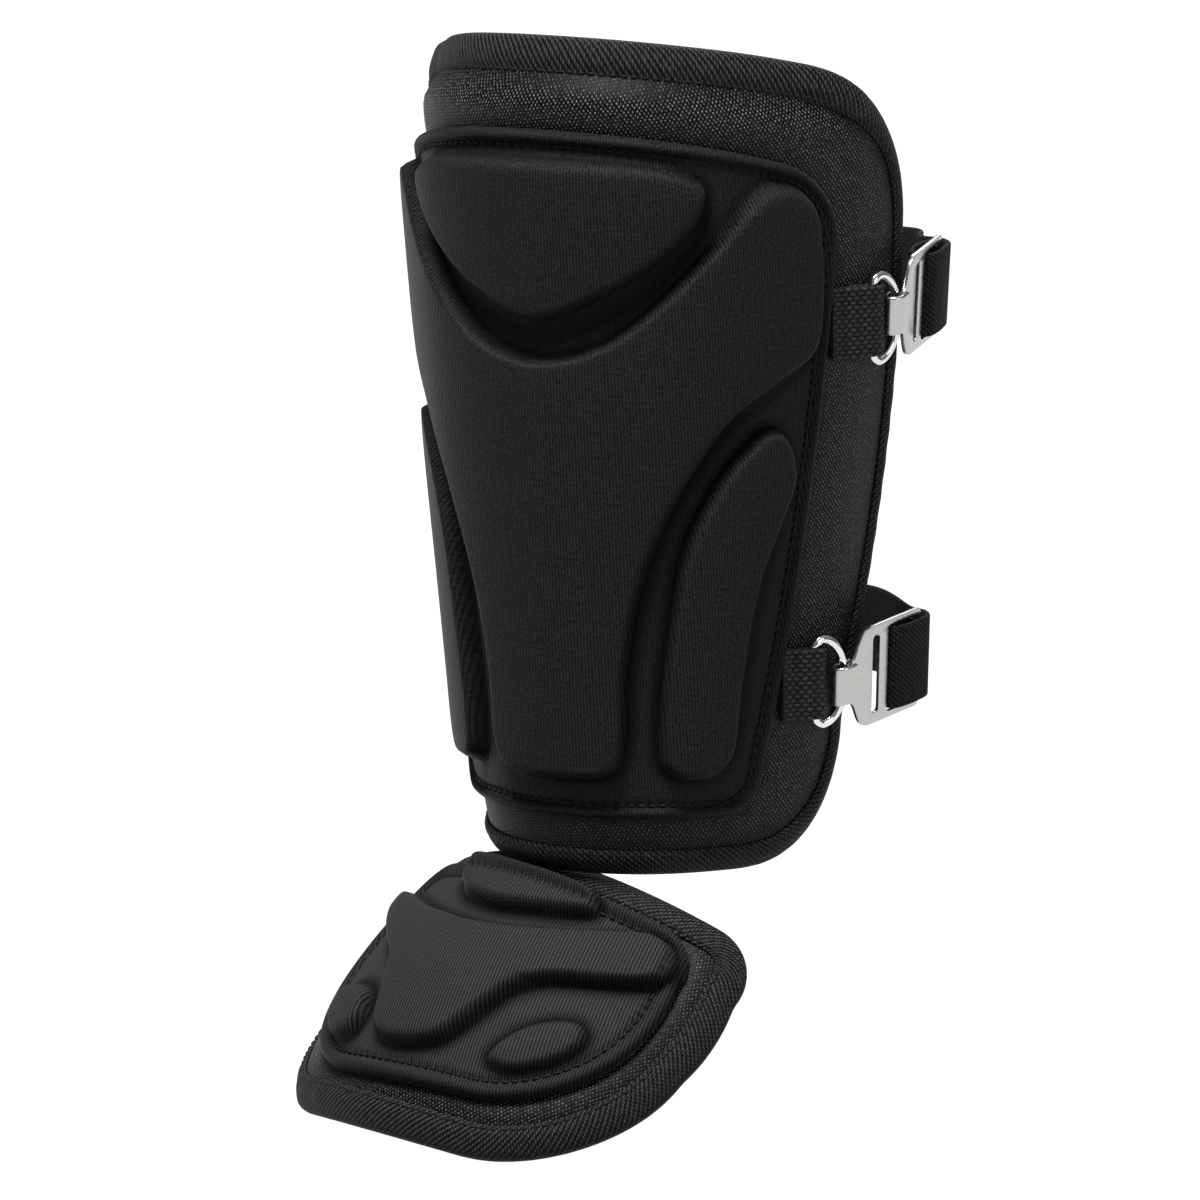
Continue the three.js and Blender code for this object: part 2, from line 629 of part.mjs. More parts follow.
// Elastic: sewn inside the pad's far edge, round the calf, over the hook's outer bar, in through its slot
// and back on itself.
function strapEdge(set, v) {
  const frame = hookFrame(set);
  const eye = [
    { t: 35, n: -4 }, { t: 29, n: -6 }, { t: 23.6, n: -4.6 }, { t: 21.6, n: -1.2 }, { t: 22.4, n: 2 },
    { t: 26, n: 3 }, { t: 30, n: 3 }, { t: 34.4, n: 2.2 }, { t: 37, n: -1 }, { t: 38, n: -7 },
  ].map(({ t, n }) => hookPoint(frame, t, v, n));
  const calf = [0.68, 0, -0.62].map((part) => {
    const rise = hookRise * 20 * (1 + part);
    return new THREE.Vector3(part * frame.origin.x, set.back * (1 - 0.28 * part * part), set.level + rise + v);
  });
  const sewnDepth = padBackAt(tapeWidth, shinPadBack) - tapeGap - tapeThick - elasticThick / 2 - 0.4;
  const sewn = [4, -tapeWidth, -tapeWidth - sewnLength].map((past) => {
    return onShin(-set.padEdge - past, set.level + v, sewnDepth);
  });
  const side = sewn[0].clone().setY(sewn[0].y + 14);
  return new THREE.CatmullRomCurve3([...eye, ...calf, side, ...sewn]);
}

function strapBody(set) {
  const steps = 48;
  const lowEdge = strapEdge(set, -elasticWidth / 2);
  const highEdge = strapEdge(set, elasticWidth / 2);
  const rings = [];
  for (let i = 0; i <= steps; i += 1) {
    const low = lowEdge.getPoint(i / steps);
    const high = highEdge.getPoint(i / steps);
    const face = lowEdge.getTangent(i / steps).cross(high.clone().sub(low)).setLength(elasticThick / 2);
    rings.push([high.clone().add(face), high.clone().sub(face), low.clone().sub(face), low.clone().add(face)]);
  }
  return sweptBody(rings, false);
}

// The assembly.
const guard = new THREE.Group();

function addPiece(name, geometry, color, roughness, metalness) {
  const piece = new THREE.Mesh(geometry, new THREE.MeshStandardMaterial({ color, roughness, metalness }));
  piece.name = name;
  guard.add(piece);
}

const shinPadRows = cutRows(shinPadCut, 4, 8);
const shinPadColumns = padColumns(14, 0.073);
const footPadRows = cutRows(footPadCut, 4, 4);
const footPadColumns = padColumns(10, 0.1);
const shield = raisedField(shieldEdge, fieldRise.shin, true);
const body = raisedField(bodyEdge, fieldRise.shin, true);
const lobe = raisedField(lobeEdge, fieldRise.shin, false);
const shinFields = [shield, body, lobe, mirrorField(lobe)];
const footFields = [
  raisedField(barEdge, fieldRise.bar, false), raisedField(wingEdge, fieldRise.wing, false),
  raisedField(toeLobeEdge, fieldRise.toe, false), raisedField(outerToeLobeEdge, fieldRise.toe, false),
];

addPiece('shin_pad', padBody(shinPadCut, onShinPad, shinPadBack, shinPadRows, shinPadColumns), '#1d1e20', 0.85, 0);
addPiece('shin_binding', bindingBody(shinPadCut, onShinPad, shinPadBack, shinPadRows, shinPadColumns),
  '#141516', 0.8, 0);
addPiece('shin_panel', panelBody(shinPanelCut, onShin, shinFields, cutRows(shinPanelCut, 4, 36), evenColumns(36)),
  '#101112', 0.75, 0);
addPiece('foot_pad', padBody(footPadCut, onInstep, footPadBack, footPadRows, footPadColumns), '#1d1e20', 0.85, 0);
addPiece('foot_binding', bindingBody(footPadCut, onInstep, footPadBack, footPadRows, footPadColumns),
  '#141516', 0.8, 0);
const footPanelRows = cutRows(footPanelCut, 6, 14);
addPiece('foot_panel', panelBody(footPanelCut, onInstepPanel, footFields, footPanelRows, evenColumns(24)),
  '#101112', 0.75, 0);
for (const set of strapSets) {
  addPiece(`${set.name}_ring_tab`, tabBody(set), '#151617', 0.85, 0);
  addPiece(`${set.name}_ring`, ringBody(set), '#c9c9cb', 0.2, 1);
  addPiece(`${set.name}_hook`, hookBody(set), '#b9b8b6', 0.32, 1);
  addPiece(`${set.name}_strap`, strapBody(set), '#161718', 0.85, 0);
}

export default guard;
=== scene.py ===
import math
import bpy
import numpy as np
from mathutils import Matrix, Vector


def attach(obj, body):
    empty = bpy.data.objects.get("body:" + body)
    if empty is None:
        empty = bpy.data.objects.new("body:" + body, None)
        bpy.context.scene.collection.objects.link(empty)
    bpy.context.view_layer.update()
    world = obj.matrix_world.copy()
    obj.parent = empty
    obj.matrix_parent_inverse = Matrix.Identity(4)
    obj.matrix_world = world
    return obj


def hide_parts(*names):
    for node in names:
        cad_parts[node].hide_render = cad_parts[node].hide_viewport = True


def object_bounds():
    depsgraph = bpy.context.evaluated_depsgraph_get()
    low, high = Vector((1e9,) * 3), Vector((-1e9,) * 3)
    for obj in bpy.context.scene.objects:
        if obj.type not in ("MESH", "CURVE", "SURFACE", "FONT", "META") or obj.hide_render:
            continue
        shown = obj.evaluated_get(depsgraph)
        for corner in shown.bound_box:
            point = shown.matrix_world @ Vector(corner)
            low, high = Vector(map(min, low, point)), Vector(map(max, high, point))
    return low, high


# Batter's ankle guard: a shin pad and an instep pad with moulded panels, held by two hooked calf straps.
# Sizes are in millimetres and are turned to metres where a point is placed.
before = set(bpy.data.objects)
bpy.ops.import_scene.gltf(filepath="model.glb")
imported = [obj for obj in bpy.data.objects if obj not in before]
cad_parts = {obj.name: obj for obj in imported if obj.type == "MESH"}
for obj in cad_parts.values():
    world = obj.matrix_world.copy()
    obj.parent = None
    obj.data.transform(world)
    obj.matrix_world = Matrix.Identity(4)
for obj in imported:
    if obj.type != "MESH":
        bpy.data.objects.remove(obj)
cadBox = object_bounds()
scene = bpy.context.scene
mm = 0.001
print("frame loaded with", len(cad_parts), "solids")


# One node with its settings; each input takes a value or another node's output.
def addNode(tree, kind, inputs=None, **settings):
    node = tree.nodes.new(kind)
    for name, value in settings.items():
        setattr(node, name, value)
    for name, value in (inputs or {}).items():
        if isinstance(value, bpy.types.NodeSocket):
            tree.links.new(value, node.inputs[name])
        else:
            node.inputs[name].default_value = value
    return node


def addObject(name, data):
    made = bpy.data.objects.new(name, data)
    scene.collection.objects.link(made)
    return made


# sRGB hex to linear colour
def linear(hexColour):
    parts = [int(hexColour[i:i + 2], 16) / 255 for i in (1, 3, 5)]
    return (*[c / 12.92 if c <= 0.04045 else ((c + 0.055) / 1.055) ** 2.4 for c in parts], 1)


def newMaterial(name, **sockets):
    material = bpy.data.materials.new(name)
    material.use_nodes = True
    shader = material.node_tree.nodes["Principled BSDF"]
    for socket, value in sockets.items():
        shader.inputs[socket.replace("_", " ")].default_value = value
    return material, material.node_tree, shader


def calculate(tree, operation, *values):
    return addNode(tree, "ShaderNodeMath", dict(enumerate(values)), operation=operation).outputs[0]


def mapRange(tree, value, low, high, least=0, most=1, **settings):
    node = addNode(tree, "ShaderNodeMapRange", {
        "Value": value, "From Min": low, "From Max": high, "To Min": least, "To Max": most}, **settings)
    return node.outputs[0]


def noiseAt(tree, place, size, **inputs):
    node = addNode(tree, "ShaderNodeTexNoise", {"Vector": place, "Scale": 1 / (size * mm), **inputs})
    return node.outputs["Fac"]


# A wave texture's bands are 0.314 / scale apart.
def bandsAt(tree, place, spacing, direction, inputs):
    node = addNode(tree, "ShaderNodeTexWave", {
        "Vector": place, "Scale": 0.31416 / (spacing * mm), **inputs}, bands_direction=direction)
    return node.outputs["Fac"]


# Places on the flat pattern: as they are, and turned by an angle and stretched.
def patternPlaces(tree, turn, stretch=1):
    place = addNode(tree, "ShaderNodeTexCoord").outputs["UV"]
    turned = addNode(tree, "ShaderNodeMapping", {
        "Vector": place, "Rotation": (0, 0, math.radians(turn)), "Scale": (1, stretch, 1)})
    return place, turned.outputs[0]


def addRelief(tree, shader, height, relief):
    bump = addNode(tree, "ShaderNodeBump", {"Height": height, "Distance": relief * mm, "Strength": 1})
    tree.links.new(bump.outputs[0], shader.inputs["Normal"])


# Cloth goes from its gap colour to its yarn colour, and is painted darker where shade falls: in creases,
# along seams, at the foot of raised walls and in the hollows of the weave.
def colourCloth(tree, shader, look, factor):
    colour = addNode(tree, "ShaderNodeMix", {
        0: factor, 6: linear(look["gap"]), 7: linear(look["yarn"])}, data_type="RGBA")
    paintedShade = addNode(tree, "ShaderNodeAttribute", attribute_name="paintedShade")
    share = mapRange(tree, paintedShade.outputs["Fac"], 0, 1, 1, look["paintedShade"])
    darker = addNode(tree, "ShaderNodeVectorMath", {0: colour.outputs[2], "Scale": share}, operation="SCALE")
    tree.links.new(darker.outputs[0], shader.inputs["Base Color"])


# Knitted polyester spacer mesh: black cloth with slanted knuckles over dark holes. The knuckles' pattern is
# the real knit; their light grey, at a random brightness per knuckle, is a painted fine sparkle of
# highlights.
airMesh = {"pitch": 0.88, "stretch": 0.66, "lean": 40, "uneven": 0.22, "knuckleEdge": 0.4, "knuckleTop": 0.05,
           "dimmestGlint": 0.3, "yarn": "#989999", "gap": "#020202", "relief": 0.3, "paintedShade": 0.4}


def makeAirMesh():
    material, tree, shader = newMaterial(
        "polyesterSpacerMesh", Roughness=0.5, Sheen_Weight=0.02, Sheen_Roughness=0.4, Specular_IOR_Level=0.12)
    turned = patternPlaces(tree, airMesh["lean"], airMesh["stretch"])[1]
    cells = addNode(tree, "ShaderNodeTexVoronoi", {
        "Vector": turned, "Scale": 1 / (airMesh["pitch"] * mm), "Randomness": airMesh["uneven"]},
        voronoi_dimensions="2D").outputs
    knuckle = mapRange(tree, cells["Distance"], airMesh["knuckleEdge"], airMesh["knuckleTop"],
                       interpolation_type="SMOOTHSTEP")
    # painted highlight: each knuckle gets its own random brightness, as a glint
    paintedGlint = mapRange(tree, cells["Color"], 0.2, 0.8, airMesh["dimmestGlint"])
    colourCloth(tree, shader, airMesh, calculate(tree, "MULTIPLY", knuckle, paintedGlint))
    addRelief(tree, shader, knuckle, airMesh["relief"])
    return material


# Brushed jersey on moulded foam: matte and nearly black, with wales that catch light on the crests.
# They are drawn a little coarse so that they show.
jersey = {"wale": 0.8, "course": 0.65, "courseShare": 0.35, "turn": 0, "fuzz": 2.4, "fuzzSize": 0.9,
          "yarn": "#343535", "gap": "#060606", "paintedShade": 0.14, "relief": 0.09, "gloss": 0.05}
# The same cloth cut on the bias, stretched so that its wales show.
biasJersey = {**jersey, "wale": 0.98, "turn": 14, "fuzz": 0.6, "yarn": "#424343", "gap": "#030303",
              "paintedShade": 0.16, "relief": 0.08, "gloss": 0.022}


def makeJersey(name, look):
    material, tree, shader = newMaterial(
        name, Roughness=0.5, Sheen_Weight=0.05, Sheen_Roughness=0.35, Specular_IOR_Level=look["gloss"])
    place, turned = patternPlaces(tree, look["turn"])
    wales = bandsAt(tree, turned, look["wale"], "X", {"Distortion": 0.5, "Detail": 2, "Detail Scale": 0.6})
    courses = bandsAt(tree, turned, look["course"], "Y", {"Distortion": 0.3})
    knit = calculate(tree, "MULTIPLY_ADD", courses, look["courseShare"], wales)
    fuzz = noiseAt(tree, place, look["fuzzSize"], Detail=2)
    mixed = calculate(tree, "MULTIPLY_ADD", fuzz, look["fuzz"], knit)
    knitMost, fuzzLeast, fuzzMost = 1.3, 0.38, 0.6  # where the knit and the noise mostly lie
    factor = mapRange(tree, mixed, fuzzLeast * look["fuzz"], knitMost + fuzzMost * look["fuzz"])
    colourCloth(tree, shader, look, factor)
    addRelief(tree, shader, mixed, look["relief"])
    return material


# Woven tapes, webbing and thread differ in the lean and spacing of their ribs. The ribs show a little
# between the picks too, and a soft cloud shades the yarn.
weaving = {"between": 0.3, "cloud": 1.2, "cloudSize": 1.6, "dark": 0.7, "light": 2.0}


def makeTape(name, look):
    material, tree, shader = newMaterial(
        name, Roughness=look["roughness"], Sheen_Weight=0.02, Sheen_Roughness=0.4, Specular_IOR_Level=0.1)
    place, turned = patternPlaces(tree, look["lean"])
    ribs = bandsAt(tree, turned, look["rib"], "X", {"Distortion": 0.25})
    picks = bandsAt(tree, place, look["pick"], "X", {})
    between = calculate(tree, "MULTIPLY", ribs, weaving["between"])
    weave = calculate(tree, "MULTIPLY_ADD", picks, ribs, between)
    cloud = noiseAt(tree, place, weaving["cloudSize"], Detail=3)
    mixed = calculate(tree, "MULTIPLY_ADD", cloud, weaving["cloud"], weave)
    colourCloth(tree, shader, look, mapRange(tree, mixed, weaving["dark"], weaving["light"]))
    addRelief(tree, shader, weave, look["relief"])
    return material


# Woven polyester binding: slanted rows of beads, drawn a little coarse so that they show.
twillTape = {"lean": 48, "rib": 1.4, "pick": 0.95, "yarn": "#545555", "gap": "#030303", "relief": 0.26,
             "roughness": 0.66, "paintedShade": 1}
# Knitted elastic: finer, flatter ribs.
elasticTape = {"lean": 42, "rib": 1.1, "pick": 0.8, "yarn": "#3a3a3a", "gap": "#060606", "relief": 0.22,
               "roughness": 0.7, "paintedShade": 1}
# Polypropylene webbing: the coarse weave is in the mesh, and the fine filaments are drawn here.
webbingYarn = {"lean": 0, "rib": 0.45, "pick": 0.5, "yarn": "#6b6b6b", "gap": "#2c2c2c", "relief": 0.05,
               "roughness": 0.5, "paintedShade": 0.06}
# Bonded sewing thread: a smooth dark cord with a slight gloss.
threadYarn = {"lean": 60, "rib": 0.3, "pick": 0.3, "yarn": "#4e4e4e", "gap": "#1c1c1c", "relief": 0.03,
              "roughness": 0.5, "paintedShade": 1}


# Plated steel: bright all over, with a faint unevenness that breaks up the highlights.
plated = {"smoothest": 0.75, "roughest": 1.3}


def makePlating(name, look):
    material, tree, shader = newMaterial(name, Metallic=1.0, Base_Color=linear(look["colour"]))
    place = addNode(tree, "ShaderNodeTexCoord").outputs["Object"]
    grain = noiseAt(tree, place, look["grain"], Detail=5, Roughness=0.65)
    rough = mapRange(tree, grain, 0.3, 0.7, look["roughness"] * plated["smoothest"],
                     look["roughness"] * plated["roughest"])
    tree.links.new(rough, shader.inputs["Roughness"])
    addRelief(tree, shader, grain, look["relief"])
    return material


# Chromed wire: mirror bright, with sharp highlights along the bend.
chromedWire = {"colour": "#d9d9db", "grain": 3.0, "roughness": 0.1, "relief": 0.01}
# Satin nickel on stamped steel: an even silver grey with soft highlights.
satinNickel = {"colour": "#b4b3b1", "grain": 1.2, "roughness": 0.28, "relief": 0.006}

meshCloth = makeAirMesh()
shinJersey = makeJersey("brushedJersey", jersey)
footJersey = makeJersey("brushedJerseyBias", biasJersey)
bindingCloth = makeTape("polyesterTwillTape", twillTape)
elasticCloth = makeTape("knittedElastic", elasticTape)
webbingCloth = makeTape("polypropyleneWebbing", webbingYarn)
thread = makeTape("bondedThread", threadYarn)
chrome = makePlating("chromedSteelWire", chromedWire)
nickel = makePlating("satinNickelSteel", satinNickel)
print("materials made")


# Surfaces: the flat pattern place (u, z) and a height h above it, turned to a point in metres.
leg = {"noseRadiusLow": 41.7, "noseGrowth": 1 / 12, "noseHalfAngle": math.radians(46), "sideRatio": 1.8}
instep = {"reach": 46.5, "drop": 9.4, "side": -2.7, "panelSide": 9.25, "yaw": math.radians(23), "arch": 99,
          "slopeStart": 37, "slopeLinear": 0.21, "slopeSquare": 0.0013, "steps": 24}


def onShin(u, z, h):
    u, z, h = np.broadcast_arrays(*[np.asarray(value, float) for value in (u, z, h)])
    nose = leg["noseRadiusLow"] + leg["noseGrowth"] * z
    side = nose * leg["sideRatio"]
    half = leg["noseHalfAngle"]
    along = np.abs(u)
    turn = np.where(along <= nose * half, along / nose, half + (along - nose * half) / side)
    noseTurn = np.minimum(turn, half)
    across = nose * np.sin(noseTurn) + side * (np.sin(turn) - np.sin(noseTurn))
    back = nose * (1 - np.cos(noseTurn)) + side * (np.cos(noseTurn) - np.cos(turn))
    x = np.sign(u) * (across + h * np.sin(turn))
    return np.stack([x, back - nose - h * np.cos(turn), z], -1) * mm


def instepAngle(p):
    return np.radians(instep["slopeStart"] + instep["slopeLinear"] * p + instep["slopeSquare"] * p * p)


def onInstep(q, p, h):
    q, p, h = np.broadcast_arrays(*[np.asarray(value, float) for value in (q, p, h)])
    middles = (np.arange(instep["steps"]) + 0.5) / instep["steps"]
    angles = instepAngle(p[..., None] * middles)
    angle = instepAngle(p)
    roll = q / instep["arch"]
    across = (instep["arch"] + h) * np.sin(roll) + instep["side"]
    rise = (instep["arch"] + h) * np.cos(roll) - instep["arch"]
    out = instep["reach"] + np.cos(angles).mean(-1) * p + rise * np.sin(angle)
    up = rise * np.cos(angle) - np.sin(angles).mean(-1) * p - instep["drop"]
    cosYaw, sinYaw = math.cos(instep["yaw"]), math.sin(instep["yaw"])
    return np.stack([across * cosYaw - out * sinYaw, -out * cosYaw - across * sinYaw, up], -1) * mm


def onInstepPanel(q, p, h):
    return onInstep(np.asarray(q) + instep["panelSide"], p, h)


def smoothStep(value, low, high):
    part = np.clip((value - low) / (high - low), 0, 1)
    return part * part * (3 - 2 * part)


# Flat outlines: half widths, corner radii and bowed ends.
shinPadCut = {"low": 1.6, "high": 241.2, "lowWidth": 93, "highWidth": 121, "lowCorner": 40, "highCorner": 35,
              "bulge": 8, "highBow": 0.0013, "lowBow": 0}
shinPanelCut = {"low": 17, "high": 217, "lowWidth": 58, "highWidth": 88, "lowCorner": 14, "highCorner": 16,
                "bulge": 3.5, "highBow": 0.0021, "lowBow": 0}
footPadCut = {"low": -17, "high": 79.5, "lowWidth": 81.5, "highWidth": 84.5, "lowCorner": 16,
              "highCorner": 47, "bulge": 2, "highBow": 0.0006, "lowBow": -0.0013}
footPanelCut = {"low": -8.3, "high": 66, "lowWidth": 59, "highWidth": 61.5, "lowCorner": 15, "highCorner": 36,
                "bulge": 1, "highBow": 0.001, "lowBow": -0.0013, "lowTilt": -0.03, "highTilt": -0.07}


# A cut as a grid of flat places: rows from its low end to its high end, columns from -1 to 1.
def cutGrid(cut, cornerSteps, sideSteps, columns):
    sideLow = cut["low"] + cut["lowCorner"]
    lift = cut["highBow"] * cut["highWidth"] ** 2
    sideHigh = cut["high"] - cut["highCorner"] - lift
    turn = np.arange(cornerSteps) / cornerSteps * (math.pi / 2)
    part = np.arange(sideSteps + 1) / sideSteps
    back = turn[::-1]
    rise = np.concatenate([
        cut["low"] + cut["lowCorner"] * (1 - np.cos(turn)),
        sideLow + (sideHigh - sideLow) * part,
        sideHigh + cut["highCorner"] * np.cos(back)])
    width = np.concatenate([
        cut["lowWidth"] - cut["lowCorner"] * (1 - np.sin(turn)),
        cut["lowWidth"] + (cut["highWidth"] - cut["lowWidth"]) * part + 4 * cut["bulge"] * part * (1 - part),
        cut["highWidth"] - cut["highCorner"] * (1 - np.sin(back))])
    lifts = lift * smoothStep(rise, sideLow, cut["high"])
    part = np.linspace(0, 1, len(rise))[:, None]
    lower = cut["lowBow"] * (1 - part)
    tilt = cut.get("lowTilt", 0) * (1 - part) + cut.get("highTilt", 0) * part
    u = width[:, None] * columns[None, :]
    z = rise[:, None] + lifts[:, None] * (1 - (u / cut["highWidth"]) ** 2) + lower * u * u + tilt * u
    return np.stack([u, z], -1)


# Even columns with a few closer ones beside each edge.
def padColumns(count, edges):
    inner = np.linspace(-1 + edges[-1], 1 - edges[-1], count)
    near = np.asarray(edges[:-1])
    return np.concatenate([near - 1, inner, 1 - near[::-1]])


def gridLoop(grid):
    return np.concatenate([grid[0, :-1], grid[:-1, -1], grid[-1, :0:-1], grid[:0:-1, 0]])


def walkedLength(points):
    return np.concatenate([[0], np.cumsum(np.linalg.norm(np.diff(points, axis=0), axis=1))])


def closeLoop(points):
    return np.concatenate([points, points[:1]])


def unitRows(rows):
    return rows / np.linalg.norm(rows, axis=1)[:, None]


# A closed outline resampled to even steps, with its inward normals and the length along it.
def evenLoop(loop, step):
    closed = closeLoop(loop)
    walked = walkedLength(closed)
    count = int(round(walked[-1] / step))
    at = np.arange(count) / count * walked[-1]
    points = np.stack([np.interp(at, walked, closed[:, k]) for k in range(2)], -1)
    ahead = unitRows(np.roll(points, -2, 0) - np.roll(points, 2, 0))
    return points, np.stack([-ahead[:, 1], ahead[:, 0]], -1), np.append(at, walked[-1])


# Distance from flat places to a closed outline, positive inside, and a value carried along the outline.
def depthInside(outline, places, carried=None):
    flat = places.reshape(-1, 2)
    nearest = np.full(len(flat), 1e9)
    inside = np.zeros(len(flat), bool)
    value = np.zeros(len(flat))
    carried = np.zeros(len(outline)) if carried is None else carried
    for i, a in enumerate(outline):
        k = (i + 1) % len(outline)
        ab = outline[k] - a
        toPlace = flat - a
        part = np.clip(toPlace @ ab / max(ab @ ab, 1e-12), 0, 1)
        gap = np.hypot(toPlace[:, 0] - part * ab[0], toPlace[:, 1] - part * ab[1])
        closer = gap < nearest
        nearest[closer] = gap[closer]
        value[closer] = (carried[i] + (carried[k] - carried[i]) * part)[closer]
        if ab[1]:
            crosses = (a[1] > flat[:, 1]) != (outline[k][1] > flat[:, 1])
            inside ^= crosses & (toPlace[:, 0] < toPlace[:, 1] / ab[1] * ab[0])
    shape = places.shape[:-1]
    return np.where(inside, nearest, -nearest).reshape(shape), value.reshape(shape)


# Centripetal Catmull-Rom curve through rows of numbers, at places counted in spans.
def curveAt(rows, places, closed):
    rows = np.asarray(rows, float)
    if closed:
        rows = np.concatenate([rows[-1:], rows, rows[:2]])
    else:
        rows = np.concatenate([2 * rows[:1] - rows[1:2], rows, 2 * rows[-1:] - rows[-2:-1]])
    span = np.clip(np.floor(places).astype(int), 0, len(rows) - 4)
    t = (places - span)[:, None]
    p0, p1, p2, p3 = [rows[span + k] for k in range(4)]
    d0, d1, d2 = [np.maximum(np.linalg.norm(b - a, axis=1), 1e-9)[:, None] ** 0.5
                  for a, b in ((p0, p1), (p1, p2), (p2, p3))]
    m1 = ((p1 - p0) / d0 - (p2 - p0) / (d0 + d1) + (p2 - p1) / d1) * d1
    m2 = ((p2 - p1) / d1 - (p3 - p1) / (d1 + d2) + (p3 - p2) / d2) * d1
    return p1 + m1 * t + (3 * (p2 - p1) - 2 * m1 - m2) * t ** 2 + (2 * (p1 - p2) + m1 + m2) * t ** 3


def vertexPlaces(mesh):
    places = np.zeros(len(mesh.vertices) * 3)
    mesh.vertices.foreach_get("co", places)
    return places.reshape(-1, 3)


# A closed mesh whose faces point inwards is turned round.
def turnOutward(mesh):
    mesh.calc_loop_triangles()
    corners = np.zeros(len(mesh.loop_triangles) * 3, np.int32)
    mesh.loop_triangles.foreach_get("vertices", corners)
    a, b, c = vertexPlaces(mesh)[corners.reshape(-1, 3)].transpose(1, 0, 2)
    if np.sum(a * np.cross(b, c)) < 0:
        mesh.flip_normals()


def meshPiece(name, points, faces, uvs, material):
    mesh = bpy.data.meshes.new(name)
    mesh.from_pydata(np.asarray(points).reshape(-1, 3).tolist(), [], faces)
    layer = mesh.uv_layers.new(name="pattern")
    layer.data.foreach_set("uv", np.asarray(uvs, np.float32).ravel())
    mesh.polygons.foreach_set("use_smooth", np.ones(len(faces), bool))
    mesh.materials.append(material)
    turnOutward(mesh)
    return addObject(name, mesh)


# The mesh that a piece has once its modifiers have worked on it.
def workedMesh(piece):
    bpy.context.view_layer.update()
    return bpy.data.meshes.new_from_object(piece.evaluated_get(bpy.context.evaluated_depsgraph_get()))


def smoothOnce(piece):
    smoother = piece.modifiers.new("smooth", "SUBSURF")
    smoother.levels = smoother.render_levels = 1


# Flat places laid on a surface at the given heights.
def laidOn(place, flat, height):
    return place(flat[..., 0], flat[..., 1], height)


def gridFaces(ids):
    return np.stack([ids[:-1, :-1], ids[:-1, 1:], ids[1:, 1:], ids[1:, :-1]], -1).reshape(-1, 4).tolist()


# A front grid and a coarser back grid, joined round the rim.
def sheetPiece(name, front, back, frontFlat, backFlat, material):
    ids = np.arange(front.shape[0] * front.shape[1]).reshape(front.shape[:2])
    under = ids.size + np.arange(back.shape[0] * back.shape[1]).reshape(back.shape[:2])
    faces = gridFaces(ids) + gridFaces(under[:, ::-1])
    rim, hem = gridLoop(ids).tolist(), gridLoop(under).tolist()
    ratio = len(rim) // len(hem)
    for i, start in enumerate(hem):
        for k in range(ratio):
            faces.append([start, rim[(i * ratio + k + 1) % len(rim)], rim[i * ratio + k]])
        faces.append([start, hem[(i + 1) % len(hem)], rim[(i + 1) * ratio % len(rim)]])
    points = np.concatenate([front.reshape(-1, 3), back.reshape(-1, 3)])
    flat = np.concatenate([frontFlat.reshape(-1, 2), backFlat.reshape(-1, 2)]) * mm
    return meshPiece(name, points, faces, flat[np.concatenate([np.asarray(f) for f in faces])], material)


# Rings of equal count joined into a tube, closed on itself or capped at both ends.
def sweptPiece(name, rings, along, across, closed, material):
    count, sides = rings.shape[:2]
    spans = count if closed else count - 1
    i, j = np.meshgrid(np.arange(spans), np.arange(sides), indexing="ij")
    corners = [(i, j), (i, j + 1), (i + 1, j + 1), (i + 1, j)]
    faces = np.stack([(a % count) * sides + b % sides for a, b in corners], -1).reshape(-1, 4).tolist()
    uvs = np.stack([np.stack([along[a], across[b]], -1) for a, b in corners], -2).reshape(-1, 2) * mm
    if not closed:
        last = (count - 1) * sides
        faces += [list(range(sides))[::-1], list(range(last, last + sides))]
        ends = [[along[0], across[k]] for k in range(sides)][::-1]
        ends += [[along[-1], across[k]] for k in range(sides)]
        uvs = np.concatenate([uvs, np.asarray(ends) * mm])
    return meshPiece(name, rings, faces, uvs, material)


# How much painted shade each point has, for the materials that darken there: shade painted into creases,
# seams and hollows.
def markPaintedShade(piece, values):
    layer = piece.data.attributes.new("paintedShade", "FLOAT", "POINT")
    layer.data.foreach_set("value", np.asarray(values, np.float32).ravel())


# Every piece moves with the one body, and the solids that it stands for are hidden.
def settle(piece, slotName, *nodes):
    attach(piece, "root")
    if nodes:
        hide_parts(*nodes)
    return piece


# Stitches: a path becomes points a stitch apart, each carrying a short thread laid along the path.
stitch = {"pitch": 3.1, "length": 2.6, "shortest": 0.92, "longest": 1.06, "thick": 0.9, "seed": 7}


